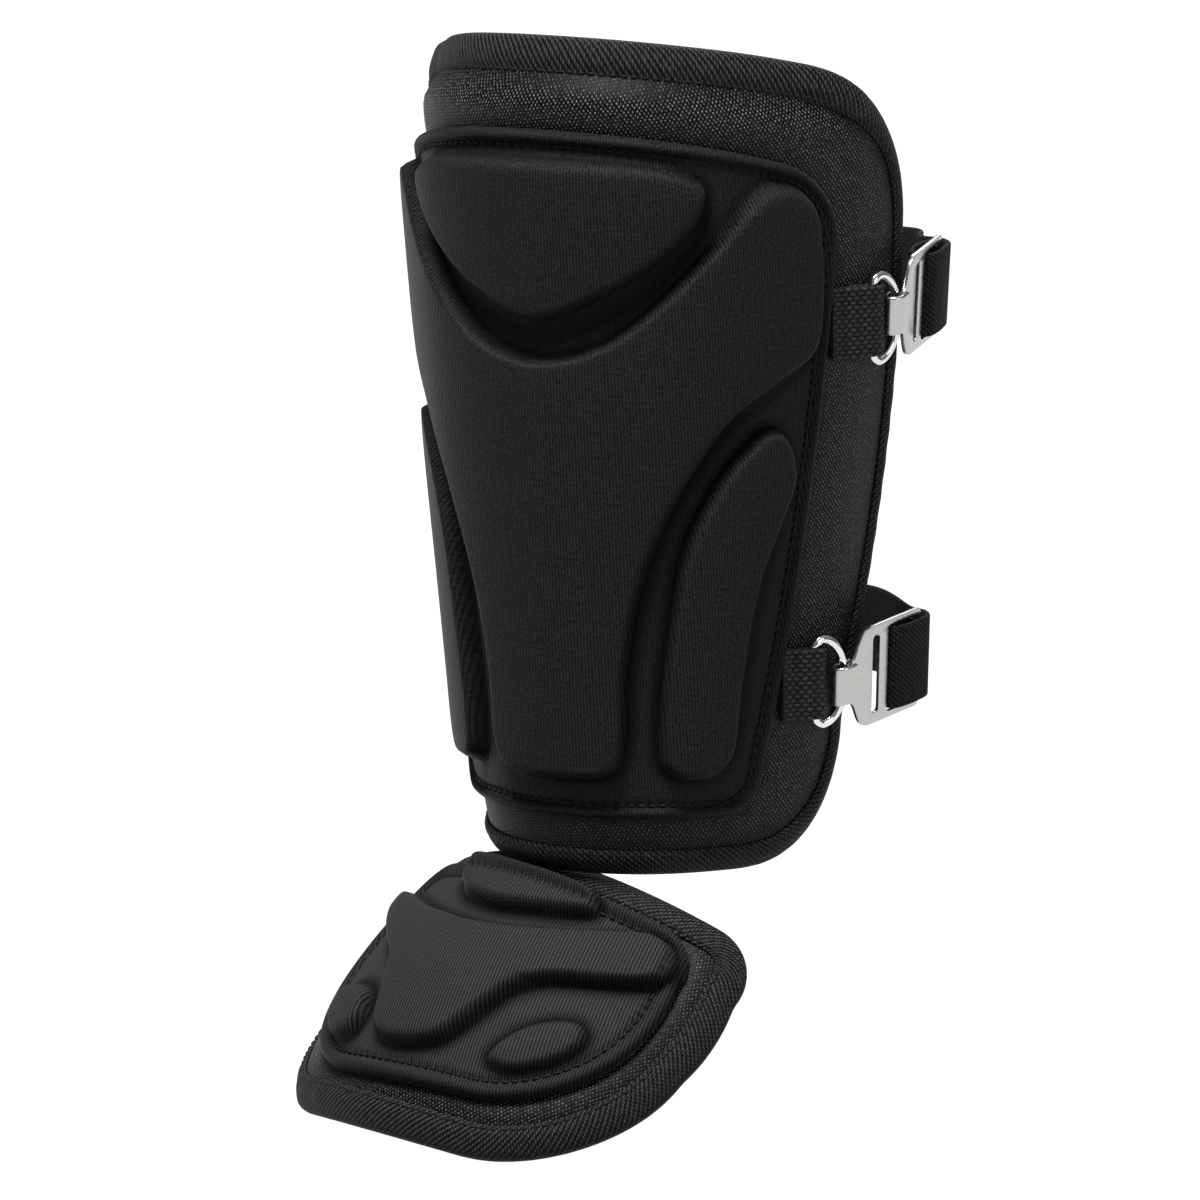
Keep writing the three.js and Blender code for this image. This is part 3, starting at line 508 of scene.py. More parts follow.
def makeStitchTree():
    tree = bpy.data.node_groups.new("stitchRow", "GeometryNodeTree")
    tree.interface.new_socket("Geometry", in_out="INPUT", socket_type="NodeSocketGeometry")
    sockets = {}
    for label, kind in (("Pitch", "Float"), ("Length", "Float"), ("Thick", "Float"), ("Seed", "Int"),
                        ("Thread", "Material")):
        made = tree.interface.new_socket(label, in_out="INPUT", socket_type="NodeSocket" + kind)
        sockets[label] = made.identifier
    tree.interface.new_socket("Geometry", in_out="OUTPUT", socket_type="NodeSocketGeometry")
    given = addNode(tree, "NodeGroupInput").outputs
    line = addNode(tree, "GeometryNodeMeshToCurve", {"Mesh": given["Geometry"]})
    spots = addNode(tree, "GeometryNodeCurveToPoints", {
        "Curve": line.outputs[0], "Length": given["Pitch"]}, mode="LENGTH")
    aim = addNode(tree, "FunctionNodeAlignRotationToVector", {"Vector": spots.outputs["Tangent"]}, axis="X")
    vary = addNode(tree, "FunctionNodeRandomValue", {
        2: stitch["shortest"], 3: stitch["longest"], "Seed": given["Seed"]}, data_type="FLOAT")
    long = addNode(tree, "ShaderNodeMath", {0: given["Length"], 1: vary.outputs[1]}, operation="MULTIPLY")
    size = addNode(tree, "ShaderNodeCombineXYZ", {
        "X": long.outputs[0], "Y": given["Thick"], "Z": given["Thick"]})
    bead = addNode(tree, "GeometryNodeMeshUVSphere", {"Segments": 8, "Rings": 6, "Radius": 0.5})
    flat = addNode(tree, "GeometryNodeTransform", {
        "Geometry": bead.outputs["Mesh"], "Rotation": (0, math.pi / 2, 0)})
    sewn = addNode(tree, "GeometryNodeInstanceOnPoints", {
        "Points": spots.outputs["Points"], "Instance": flat.outputs[0], "Rotation": aim.outputs[0],
        "Scale": size.outputs[0]})
    real = addNode(tree, "GeometryNodeRealizeInstances", {"Geometry": sewn.outputs[0]})
    smooth = addNode(tree, "GeometryNodeSetShadeSmooth", {"Geometry": real.outputs[0]})
    coloured = addNode(tree, "GeometryNodeSetMaterial", {
        "Geometry": smooth.outputs[0], "Material": given["Thread"]})
    addNode(tree, "NodeGroupOutput", {"Geometry": coloured.outputs[0]})
    return tree, sockets


stitchTree, stitchSockets = makeStitchTree()


def sewRows(name, rows, slotName):
    points, edges = [], []
    for path, closed in rows:
        first = len(points)
        points += path.tolist()
        edges += [(first + k, first + k + 1) for k in range(len(path) - 1)]
        if closed:
            edges.append((len(points) - 1, first))
    mesh = bpy.data.meshes.new(name + "Path")
    mesh.from_pydata(points, edges, [])
    piece = addObject(name, mesh)
    modifier = piece.modifiers.new("stitches", "NODES")
    modifier.node_group = stitchTree
    for label, value in (("Pitch", stitch["pitch"] * mm), ("Length", stitch["length"] * mm),
                         ("Thick", stitch["thick"] * mm), ("Seed", stitch["seed"]), ("Thread", thread)):
        modifier[stitchSockets[label]] = value
    sewn = workedMesh(piece)
    piece.modifiers.remove(modifier)
    piece.data = sewn
    sewn.name = name
    return settle(piece, slotName)


# Tape: its width on each pad's face, the shin pad's wider at the top, and its sizes on the solids.
binding = {"shinTop": 9.4, "shin": 6, "wideFrom": 205, "wideTo": 232, "foot": 8.6, "solidWidth": 8,
           "solidGap": 0.6, "solidThick": 1.2, "step": 2.2, "sewn": 1.5, "threadHeight": 1.3, "ripple": 0.15,
           "rippleLength": 11, "wander": 37}
# Pads: foam under a mesh cover. The cover swells where neither the binding nor the panel holds it down.
pad = {"frontEdge": -0.9, "front": 1.5, "backEdge": -4.1, "shinBack": -7, "footBack": -6, "crown": 14,
       "underPanel": 0.3, "sinkFrom": -2, "sinkTo": 3, "heldPanel": 1.2, "free": 3.5, "tuck": 6.5,
       "tuckFrom": 14, "tuckTo": 8.5, "tuckFade": 70, "tuckEnd": 105, "seamShade": 7, "outlineStep": 3}
cover = {"frames": 20, "pressure": 4, "quality": 6, "mass": 0.02, "tension": 6, "bending": 0.05, "most": 2.8}


# The shin pad's top edge is drawn in towards the leg.
def onShinPad(u, z, h):
    below = shinPadCut["high"] - shinPadCut["highBow"] * np.asarray(u) ** 2 - z
    most = pad["tuck"] * (1 - smoothStep(np.abs(u), pad["tuckFade"], pad["tuckEnd"]))
    return onShin(u, z, h - most * smoothStep(-below, -pad["tuckFrom"], -pad["tuckTo"]))


def shinTape(z):
    return binding["shin"] + (binding["shinTop"] - binding["shin"]) * smoothStep(
        z, binding["wideFrom"], binding["wideTo"])


def footTape(p):
    return np.full_like(p, binding["foot"])


def crown(depth):
    return 1 - (1 - np.clip(np.asarray(depth) / pad["crown"], 0, 1)) ** 2


def padFrontAt(depth):
    return pad["frontEdge"] + (pad["front"] - pad["frontEdge"]) * crown(depth)


def padBackAt(depth, back):
    return pad["backEdge"] + (back - pad["backEdge"]) * crown(depth)


# Cloth under pressure, pinned where it is sewn; how far a point may move is capped softly.
def inflate(piece, held):
    group = piece.vertex_groups.new(name="sewn")
    for level in np.unique(held.round(2)):
        if level > 0:
            group.add(np.flatnonzero(held.round(2) == level).tolist(), float(level), "REPLACE")
    modifier = piece.modifiers.new("swelling", "CLOTH")
    settings = modifier.settings
    settings.quality = cover["quality"]
    settings.mass = cover["mass"]
    settings.tension_stiffness = settings.compression_stiffness = cover["tension"]
    settings.shear_stiffness = cover["tension"]
    settings.bending_stiffness = cover["bending"]
    settings.use_pressure = True
    settings.uniform_pressure_force = cover["pressure"]
    settings.vertex_group_mass = group.name
    settings.effector_weights.gravity = 0
    modifier.point_cache.frame_end = cover["frames"]
    before = vertexPlaces(piece.data)
    for number in range(1, cover["frames"] + 1):
        scene.frame_set(number)
    move = vertexPlaces(piece.evaluated_get(bpy.context.evaluated_depsgraph_get()).data) - before
    piece.modifiers.remove(modifier)
    piece.vertex_groups.clear()
    scene.frame_set(1)
    far = np.maximum(np.linalg.norm(move, axis=1), 1e-9)[:, None]
    most = cover["most"] * mm
    print(piece.name, "swelling: largest %.2f mm, middle %.2f mm" % (far.max() / mm, np.median(far) / mm))
    move *= most * np.tanh(far / most) / far
    piece.data.vertices.foreach_set("co", (before + move).ravel())
    piece.data.update()


def makePad(name, node, cut, panelCut, place, panelShift, back, tape, steps, columns):
    flat = cutGrid(cut, *steps, columns)
    outline = evenLoop(gridLoop(flat), pad["outlineStep"])[0]
    panelGrid = cutGrid(panelCut, 8, 24, np.linspace(-1, 1, 25))
    panelOutline = evenLoop(gridLoop(panelGrid), pad["outlineStep"])[0] + [panelShift, 0]
    depth = np.maximum(depthInside(outline, flat)[0], 0)
    underPanel = depthInside(panelOutline, flat)[0]
    sunk = smoothStep(underPanel, pad["sinkFrom"], pad["sinkTo"]) * (pad["front"] - pad["underPanel"])
    front = laidOn(place, flat, padFrontAt(depth) - sunk)
    rear = laidOn(place, flat, padBackAt(depth, back))
    piece = sheetPiece(name, front, rear, flat, flat, meshCloth)
    sewn = tape(flat[..., 1])
    held = np.maximum(1 - smoothStep(depth - sewn, 0, pad["free"]),
                      smoothStep(underPanel, -pad["heldPanel"] - pad["free"], -pad["heldPanel"]))
    # painted shade: the mesh is darkened along the binding's stitch line and round the panel's edge, where it
    # dips into a crease
    paintedSeamShade = np.maximum(1 - smoothStep(depth - sewn, 0, pad["seamShade"]),
                      smoothStep(underPanel, -pad["heldPanel"] - pad["seamShade"] / 2, 0))
    markPaintedShade(piece, np.concatenate([paintedSeamShade.ravel(), np.zeros(rear.size // 3)]))
    inflate(piece, np.concatenate([held.ravel(), np.ones(rear.size // 3)]))
    smoothOnce(piece)
    settle(piece, "mesh_fabric", node)
    return flat


shinPadFlat = makePad("shinPad", "shin_pad", shinPadCut, shinPanelCut, onShinPad, 0, pad["shinBack"],
                      shinTape, (10, 64), padColumns(86, [0, 0.008, 0.02]))
footPadFlat = makePad("footPad", "foot_pad", footPadCut, footPanelCut, onInstep, instep["panelSide"],
                      pad["footBack"], footTape, (14, 14), padColumns(60, [0, 0.01, 0.03]))
print("pads made")


# Binding: tape rolled over the cut edge, puffed between the edge and its stitch line. A face's row is a share
# of the tape's width and a height over the pad, and an edge's row is a depth inside the cut and a height.
tapeFace = [(1, 0.25), (0.97, 0.75), (0.88, 1.15), (0.7, 1.7), (0.49, 1.9), (0.28, 1.8), (0.1, 1.5)]
tapeEdge = [(-0.7, 0.1), (-1.5, -0.9), (-1.85, -2.5), (-1.5, -4.1), (-0.7, -5.1)]
tapeLining = [(0.04, 0.3), (0.3, 0.25), (0.66, 0.2), (0.98, 0.12)]
liningEdge = [(-0.4, -3.6), (-0.4, -1.4)]


def bindingSection(back, width):
    behind = tapeFace[::-1] + tapeLining[::-1]
    section = [(part * width, padFrontAt(part * width) + h) for part, h in tapeFace] + tapeEdge
    section += [(part * width, padBackAt(part * width, back) - h) for part, h in behind] + liningEdge
    section += [(part * width, padFrontAt(part * width) + h) for part, h in tapeLining]
    return np.asarray([(float(d), float(h)) for d, h in section])


def makeBinding(name, node, flat, place, back, width):
    loop, inward, along = evenLoop(gridLoop(flat), binding["step"])
    widths = width(loop[:, 1])
    sections = np.stack([bindingSection(back, wide) for wide in widths])
    wander = 2 * np.sin(along[:-1] / binding["wander"])
    ripple = np.sin(along[:-1] / binding["rippleLength"] * 2 * math.pi + wander)
    swell = np.sin(np.clip(sections[..., 0] / widths[:, None], 0, 1) * math.pi)
    depth, height = sections[..., 0], sections[..., 1] + binding["ripple"] * ripple[:, None] * swell
    rings = laidOn(place, loop[:, None] + inward[:, None] * depth[..., None], height)
    across = walkedLength(closeLoop(sections[0]))
    piece = sweptPiece(name, rings, along, across, True, bindingCloth)
    smoothOnce(piece)
    settle(piece, "binding_tape", node)
    d = widths - binding["sewn"]
    over, under = padFrontAt(d) + binding["threadHeight"], padBackAt(d, back) - binding["threadHeight"]
    rows = [(laidOn(place, loop + inward * d[:, None], h), True) for h in (over, under)]
    sewRows(name + "Stitches", rows, "binding_tape")


makeBinding("shinBinding", "shin_binding", shinPadFlat, onShinPad, pad["shinBack"], shinTape)
makeBinding("footBinding", "foot_binding", footPadFlat, onInstep, pad["footBack"], footTape)
print("bindings made")


# Moulded panels: a flange with a rolled lip, sewn down along its hem, and the fields raised on it.
panel = {"back": 1.55, "flange": 3.9, "roll": 1.3, "rollWidth": 2.2, "groove": 0.7, "grooveWidth": 1.1,
         "pucker": 0.6, "rim": 0.3, "shinHem": 4.3, "footHem": 5.3, "hemShade": 0.3, "swell": 0.4,
         "swellWidth": 6, "wall": 3, "shelf": 0.52, "shelfCurve": 1.2, "paintedShadeWidth": 3.5,
         "paintedShadeCurve": 0.7, "spanSteps": 7, "outlineStep": 2, "backEvery": 4, "threadLift": 0.45}
fieldRise = {"shin": 6, "bar": 5, "wing": 5.2, "toeLobe": 3.2, "outerToeLobe": 4}
# Each row is a place on a field's top edge and the width of the slope outside it.
shieldEdge = [(0, 206.5, 3), (20, 206, 3), (37, 203.8, 3), (43, 200.5, 3), (43.2, 197, 4), (40, 191, 7),
              (29, 180, 9), (15, 170.8, 9), (0, 164.8, 8)]
bodyEdge = [(0, 149, 2.4), (10, 150.6, 2.4), (20, 155.2, 2.4), (29, 162.2, 2.4), (43, 176.4, 2.4),
            (51, 185, 2.4), (58, 193.5, 2.6), (64, 198, 2.8), (70.5, 197.8, 2.8), (75.8, 193.5, 2.6),
            (77.5, 185, 2.4), (77.5, 165, 2.6), (74.5, 153, 4), (65.5, 147, 5), (55.4, 140.5, 5),
            (47, 133.5, 5), (36.5, 119, 4.5), (29.7, 106, 4), (22.3, 86, 3.5), (17.5, 60, 3), (16.5, 40, 2.6),
            (14, 33, 2.6), (8, 31.2, 2.6), (0, 31, 2.6)]
lobeEdge = [(63, 128, 2.6), (67, 117, 3.5), (61.5, 102, 4), (55.8, 89, 4.5), (51.3, 72, 4.5), (47.7, 53, 4),
            (45, 37, 3), (41, 31.8, 2.6), (35, 31, 2.6), (30.5, 33, 2.6), (29.5, 40, 2.5), (33.5, 74, 2.5),
            (39.5, 100, 2.5), (52, 120, 2.5)]
barEdge = [(-22.8, -6.5, 3), (-13.8, -6.5, 2.5), (-4.8, -6, 2.5), (8, -6.3, 2.5), (15.5, -6.6, 2.5),
           (21.5, -6, 3), (23.8, -3.8, 3), (19.2, -1.4, 3.5), (12.8, 1, 3.5), (5.2, 3, 3.5), (-2.8, 4.5, 3.5),
           (-11.8, 4.2, 3.5), (-19.2, 2.1, 3.5), (-24.2, -1.8, 3.5)]
wingEdge = [(-4.8, 16.5, 2.5), (9.8, 14, 2.5), (23.2, 9, 2.5), (36.2, 1.5, 2.5), (45.2, -4.2, 2.5),
            (51.2, -3.5, 3.4), (53.8, 1.5, 3.4), (51.2, 6.5, 3.4), (40.5, 14.1, 3.4), (28.5, 20.4, 3.4),
            (20.6, 26.9, 3.4), (15.8, 36, 3.4), (12.1, 44.1, 3.4), (8.1, 49.8, 3.4), (-0.8, 53.4, 3.4),
            (-10.2, 53.4, 3.4), (-15.2, 49.5, 3.4), (-17.9, 44.3, 3.4), (-21.9, 37, 3.4), (-27.2, 30, 3.4),
            (-35.8, 24, 3.4), (-44.8, 17.5, 3.4), (-50.8, 11.5, 3.4), (-50.8, 7.5, 3), (-42.8, 9.5, 2.5),
            (-28.8, 14.2, 2.5), (-15.8, 16, 2.5)]
toeLobeEdge = [(28.8, 49.8, 3.2), (30.5, 44.2, 3.2), (34.8, 38.3, 3.2), (40.2, 33.8, 3.2), (44.5, 32.2, 3),
               (46.2, 34.2, 3), (45.5, 37.8, 3), (41.5, 43.8, 3.2), (33.2, 50, 3.2)]
outerToeLobeEdge = [(-43.8, 43.5, 4), (-36.5, 43, 4), (-31, 45.2, 4), (-28.4, 50.6, 4), (-29.7, 55.4, 4),
                    (-35, 55.8, 4), (-40.8, 52.4, 4), (-44.2, 48, 4)]


def mirrorRows(rows):
    return [(-u, z, slope) for u, z, slope in rows]


# A field drawn by its right half closes on itself across the middle line.
def wholeField(rows):
    return rows + mirrorRows([row for row in rows if row[0] > 0][::-1])


def reliefAt(fields, flat):
    height, near, full = [np.zeros(flat.shape[:2]) for k in range(3)]
    for rows, rise in fields:
        edge = curveAt(rows, np.arange(len(rows) * panel["spanSteps"]) / panel["spanSteps"], True)
        depth, slope = depthInside(edge[:, :2], flat, edge[:, 2])
        climb = np.sin(np.clip(1 + depth / np.minimum(slope, panel["wall"]), 0, 1) * math.pi / 2)
        shelf = panel["shelf"] * np.clip(1 + depth / np.maximum(slope, 1), 0, 1) ** panel["shelfCurve"]
        swell = panel["swell"] * (1 - np.exp(-np.maximum(depth, 0) / panel["swellWidth"]))
        full = np.maximum(full, np.maximum(climb, shelf))
        height = np.maximum(height, np.maximum(climb, shelf) * rise + swell)
        # painted shade: darkening rises over a few millimetres towards the foot of each field's slope and
        # fades out as the wall climbs to its top
        near = np.maximum(near, np.clip(1 + (depth + slope) / panel["paintedShadeWidth"], 0, 1))
    soft = np.pad(height, 1, mode="edge")
    even = (4 * height + soft[:-2, 1:-1] + soft[2:, 1:-1] + soft[1:-1, :-2] + soft[1:-1, 2:]) / 8
    return even, near * (1 - full) ** panel["paintedShadeCurve"]


def makePanel(name, node, cut, place, fields, hem, steps, columns, material):
    flat = cutGrid(cut, *steps, columns)
    outline, inward, along = evenLoop(gridLoop(flat), panel["outlineStep"])
    depth, beside = depthInside(outline, flat, along[:-1])
    depth = np.maximum(depth, 0)
    pucker = 1 + panel["pucker"] * np.cos(beside / stitch["pitch"] * 2 * math.pi)
    lip = np.sqrt(1 - (1 - np.clip(depth / panel["rollWidth"], 0, 1)) ** 2)
    roll = panel["roll"] * (1 - smoothStep(depth, panel["rollWidth"], hem))
    groove = panel["groove"] * pucker * np.exp(-((depth - hem) / panel["grooveWidth"]) ** 2)
    relief, paintedShade = reliefAt(fields, flat)
    # painted shade: the flange from its cut edge to just past the hem is darkened
    paintedShade = np.maximum(paintedShade, panel["hemShade"] * (1 - smoothStep(depth, hem, hem + panel["rollWidth"])))
    rim = panel["back"] + panel["rim"]
    height = rim + (panel["flange"] + roll - rim) * lip - groove + relief
    every = panel["backEvery"]
    rear = flat[::every, ::every]
    piece = sheetPiece(name, laidOn(place, flat, height), laidOn(place, rear, panel["back"]), flat, rear,
                       material)
    markPaintedShade(piece, np.concatenate([paintedShade.ravel(), np.zeros(rear.size // 2)]))
    settle(piece, "moulded_foam", node)
    top = panel["flange"] - panel["groove"] + stitch["thick"] * panel["threadLift"]
    sewRows(name + "Stitches", [(laidOn(place, outline + inward * hem, top), True)], "moulded_foam")
    print(name, "has", len(piece.data.polygons), "faces")


shinEdges = [wholeField(shieldEdge), wholeField(bodyEdge), lobeEdge, mirrorRows(lobeEdge)]
shinFields = [(edge, fieldRise["shin"]) for edge in shinEdges]
footFields = [(barEdge, fieldRise["bar"]), (wingEdge, fieldRise["wing"]), (toeLobeEdge, fieldRise["toeLobe"]),
              (outerToeLobeEdge, fieldRise["outerToeLobe"])]
makePanel("shinPanel", "shin_panel", shinPanelCut, onShin, shinFields, panel["shinHem"], (16, 272),
          padColumns(239, [0, 0.004, 0.01]), shinJersey)
makePanel("footPanel", "foot_panel", footPanelCut, onInstepPanel, footFields, panel["footHem"], (48, 72),
          padColumns(199, [0, 0.005, 0.012]), footJersey)
print("panels made")


# Straps: sizes that both sets share.
webbing = {"width": 21, "thick": 1.4, "clear": 0.5, "sewn": 3, "sink": 0.3, "lead": 1, "column": 1.31,
           "float": 2.3, "relief": 0.6, "mean": 0.6, "crest": 0.6, "shade": 1.25, "face": 0.4, "step": 0.28,
           "columns": 90}
wire = {"radius": 1.35, "gap": 0.35, "depth": 10, "barSpare": 0.6, "arcStart": 2.2, "bow": 1.6, "sides": 16,
        "barSteps": 14, "bowSteps": 33, "steps": 120}
hook = {"thick": 1.5, "gap": 3.8, "clear": 2.2, "rise": 0.17, "lean": 0.05, "length": 33.5, "half": 15,
        "corner": 1.8, "tongueHalf": 5.8, "neck": 4, "neckPull": 4, "shoulder": 13, "shoulderPull": 2.5,
        "plateStart": 0.2, "overlap": 2.5, "lip": 9, "thinner": 0.995, "edge": 0.35, "slotCorner": 1.2,
        "slots": [(13.7, 16.6, 11.7), (20, 30, 12.95)], "sharp": 32}
elastic = {"width": 25.2, "thick": 1.6, "clear": 0.4, "sewn": 20, "past": 4, "lead": 14, "samples": 260,
           "boxNear": 3, "boxFar": 16, "boxHalf": 10, "boxSteps": 12, "threadLift": 0.52}
# Each set's height on the leg and its places along the pad's face, as the solids have them.
strapSets = [
    {"name": "upper", "level": 158.5, "tabStart": 85.4, "ringBar": 100, "tongue": 104.2, "plateTurn": 96,
     "hookDrop": -0.6, "padEdge": 121, "back": 82},
    {"name": "lower", "level": 53.8, "tabStart": 64.8, "ringBar": 75.4, "tongue": 79.8, "plateTurn": 74,
     "hookDrop": 1.7, "padEdge": 100, "back": 70},
]
wrap = wire["radius"] + wire["gap"] + webbing["thick"]
barHeight = pad["front"] + webbing["clear"] + wrap


# Direction up the pad's face at a strap's ring.
def shinRise(strap):
    half = webbing["width"] / 2
    up = onShin(strap["ringBar"], strap["level"] + half, pad["front"]) - onShin(
        strap["ringBar"], strap["level"] - half, pad["front"])
    return up / np.linalg.norm(up)


# A hook's own frame: t along the strap, v across it, n outwards from the plate's inner face.
def hookPoints(strap, t, v, n):
    height = pad["front"] + webbing["clear"] + 2 * (wire["radius"] + webbing["thick"]) + hook["clear"]
    origin = onShin(strap["tongue"], strap["level"], height) - np.array([0, 0, strap["hookDrop"] * mm])
    turn = math.radians(strap["plateTurn"])
    along = np.array([math.cos(turn), math.sin(turn), hook["rise"]])
    out = np.array([math.sin(turn), -math.cos(turn), 0])
    up = shinRise(strap) + out * hook["lean"]
    t, v, n = [np.asarray(value, float)[..., None] * mm for value in (t, v, n)]
    return origin + along * t + up * v + out * n


# A flat rounded band's section: across and thickness, counted round from its top face.
def bandSection(width, thick, count):
    half, bevel = width / 2, thick / 2
    side = np.linspace(half - bevel, bevel - half, count)
    bend = np.radians([75, 45, 15, -15, -45, -75])
    left = np.stack([bevel - half - bevel * np.cos(bend), bevel * np.sin(bend)], -1)
    right = np.stack([half - bevel + bevel * np.cos(bend[::-1]), bevel * np.sin(bend[::-1])], -1)
    top = np.stack([side, np.full(count, bevel)], -1)
    base = np.stack([side[::-1], np.full(count, -bevel)], -1)
    return np.concatenate([top, left, base, right])


# Ring tab: webbing folded round the ring's bar, with its coarse weave raised in the mesh. From the bar the
# upper layer slopes down to these heights over the lower layer.
upperLayer = {"middle": 3.1, "sewn": 1.7, "end": 1.1, "press": 0.05}


def makeTab(strap):
    start, bar = strap["tabStart"], strap["ringBar"]
    mid = wire["radius"] + wire["gap"] + webbing["thick"] / 2
    turn = np.linspace(-math.pi / 2, math.pi / 2, 25)[1:-1]
    low = barHeight - mid
    sewn, halfway, lead = start + webbing["sewn"], (start + bar) / 2, bar - webbing["lead"]
    rows = [(start, low - webbing["sink"]), (sewn, low), (halfway, low), (lead, low)]
    rows += [(bar + mid * math.cos(a), barHeight + mid * math.sin(a)) for a in turn]
    rows += [(lead, barHeight + mid - upperLayer["press"]), (halfway, low + upperLayer["middle"]),
             (sewn, low + upperLayer["sewn"]), (start, low + upperLayer["end"])]
    path = np.asarray(rows)
    walked = walkedLength(path)
    at = np.arange(0, walked[-1], webbing["step"])
    path = curveAt(path, np.interp(at, walked, np.arange(len(rows))), False)
    ahead = unitRows(np.gradient(path, axis=0))
    normal = np.stack([ahead[:, 1], -ahead[:, 0]], -1)
    section = bandSection(webbing["width"], webbing["thick"], webbing["columns"])
    v, n = section[None, :, 0], section[None, :, 1]
    column = np.floor((v + webbing["width"] / 2) / webbing["column"])
    ridge = np.abs(np.sin((v + webbing["width"] / 2) / webbing["column"] * math.pi)) ** webbing["crest"]
    shift = 0.5 * (column % 2)
    floats = np.abs(np.sin((at[:, None] / webbing["float"] + shift) * math.pi)) ** webbing["crest"]
    raised = n + np.sign(n) * webbing["relief"] * (ridge * floats - webbing["mean"])
    u = path[:, 0, None] + normal[:, 0, None] * raised
    h = path[:, 1, None] + normal[:, 1, None] * raised
    across = walkedLength(closeLoop(section))
    piece = sweptPiece(strap["name"] + "RingTab", onShin(u, strap["level"] + v + 0 * u, h), at, across, False,
                       webbingCloth)
    # painted shade: the hollows of the weave between the raised floats are darkened, on the flat faces only
    markPaintedShade(piece, np.minimum(webbing["shade"] * (1 - ridge * floats), 1) * (np.abs(n) > webbing["face"]))
    settle(piece, "webbing", strap["name"] + "_ring_tab")


# Ring: a straight bar in the tab and a bowed front that the hook's tongue holds.
def makeRing(strap):
    half = webbing["width"] / 2 + wire["barSpare"]
    turn = np.linspace(math.pi / 2, -math.pi / 2, wire["bowSteps"])
    bow = np.stack([wire["arcStart"] + (wire["depth"] - wire["arcStart"]) * np.cos(turn),
                    (half + wire["bow"]) * np.sin(turn)], -1)
    bar = np.stack([np.zeros(wire["barSteps"]), np.linspace(-half, half, wire["barSteps"])], -1)
    rows = np.concatenate([bar, bow])
    path = curveAt(rows, np.linspace(0, len(rows), wire["steps"], endpoint=False), True)
    foot = onShin(strap["ringBar"], strap["level"], barHeight)
    held = hookPoints(strap, strap["ringBar"] + wire["depth"] - strap["tongue"], 0, -hook["gap"] / 2)
    up = shinRise(strap)
    along = held - foot - up * np.dot(held - foot, up)
    along /= np.linalg.norm(along)
    out = np.cross(along, up)
    flow = unitRows(np.roll(path, -1, 0) - np.roll(path, 1, 0))
    spin = np.arange(wire["sides"]) / wire["sides"] * 2 * math.pi
    x = path[:, 0, None] + flow[:, 1, None] * np.cos(spin) * wire["radius"]
    y = path[:, 1, None] - flow[:, 0, None] * np.cos(spin) * wire["radius"]
    n = np.sin(spin)[None, :] * wire["radius"] + 0 * x
    rings = foot + (along * x[..., None] + up * y[..., None] + out * n[..., None]) * mm
    across = np.append(spin, 2 * math.pi) * wire["radius"]
    piece = sweptPiece(strap["name"] + "Ring", rings, walkedLength(closeLoop(path)), across, True, chrome)
    settle(piece, "ring_wire", strap["name"] + "_ring")


def roundedBox(low, high, half, corner):
    rows = []
    for t, v, first in ((high, half, 0), (low, half, 90), (low, -half, 180), (high, -half, 270)):
        for turn in np.radians(np.linspace(first, first + 90, 7)):
            rows.append((t - math.copysign(corner, t - (low + high) / 2) + corner * math.cos(turn),
                         v - math.copysign(corner, v) + corner * math.sin(turn)))
    return rows


def bezierRows(a, b, c, d, count):
    t = np.linspace(0, 1, count)[:, None]
    a, b, c, d = [np.asarray(p, float) for p in (a, b, c, d)]
    return (a * (1 - t) ** 3 + 3 * b * t * (1 - t) ** 2 + 3 * c * t * t * (1 - t) + d * t ** 3).tolist()


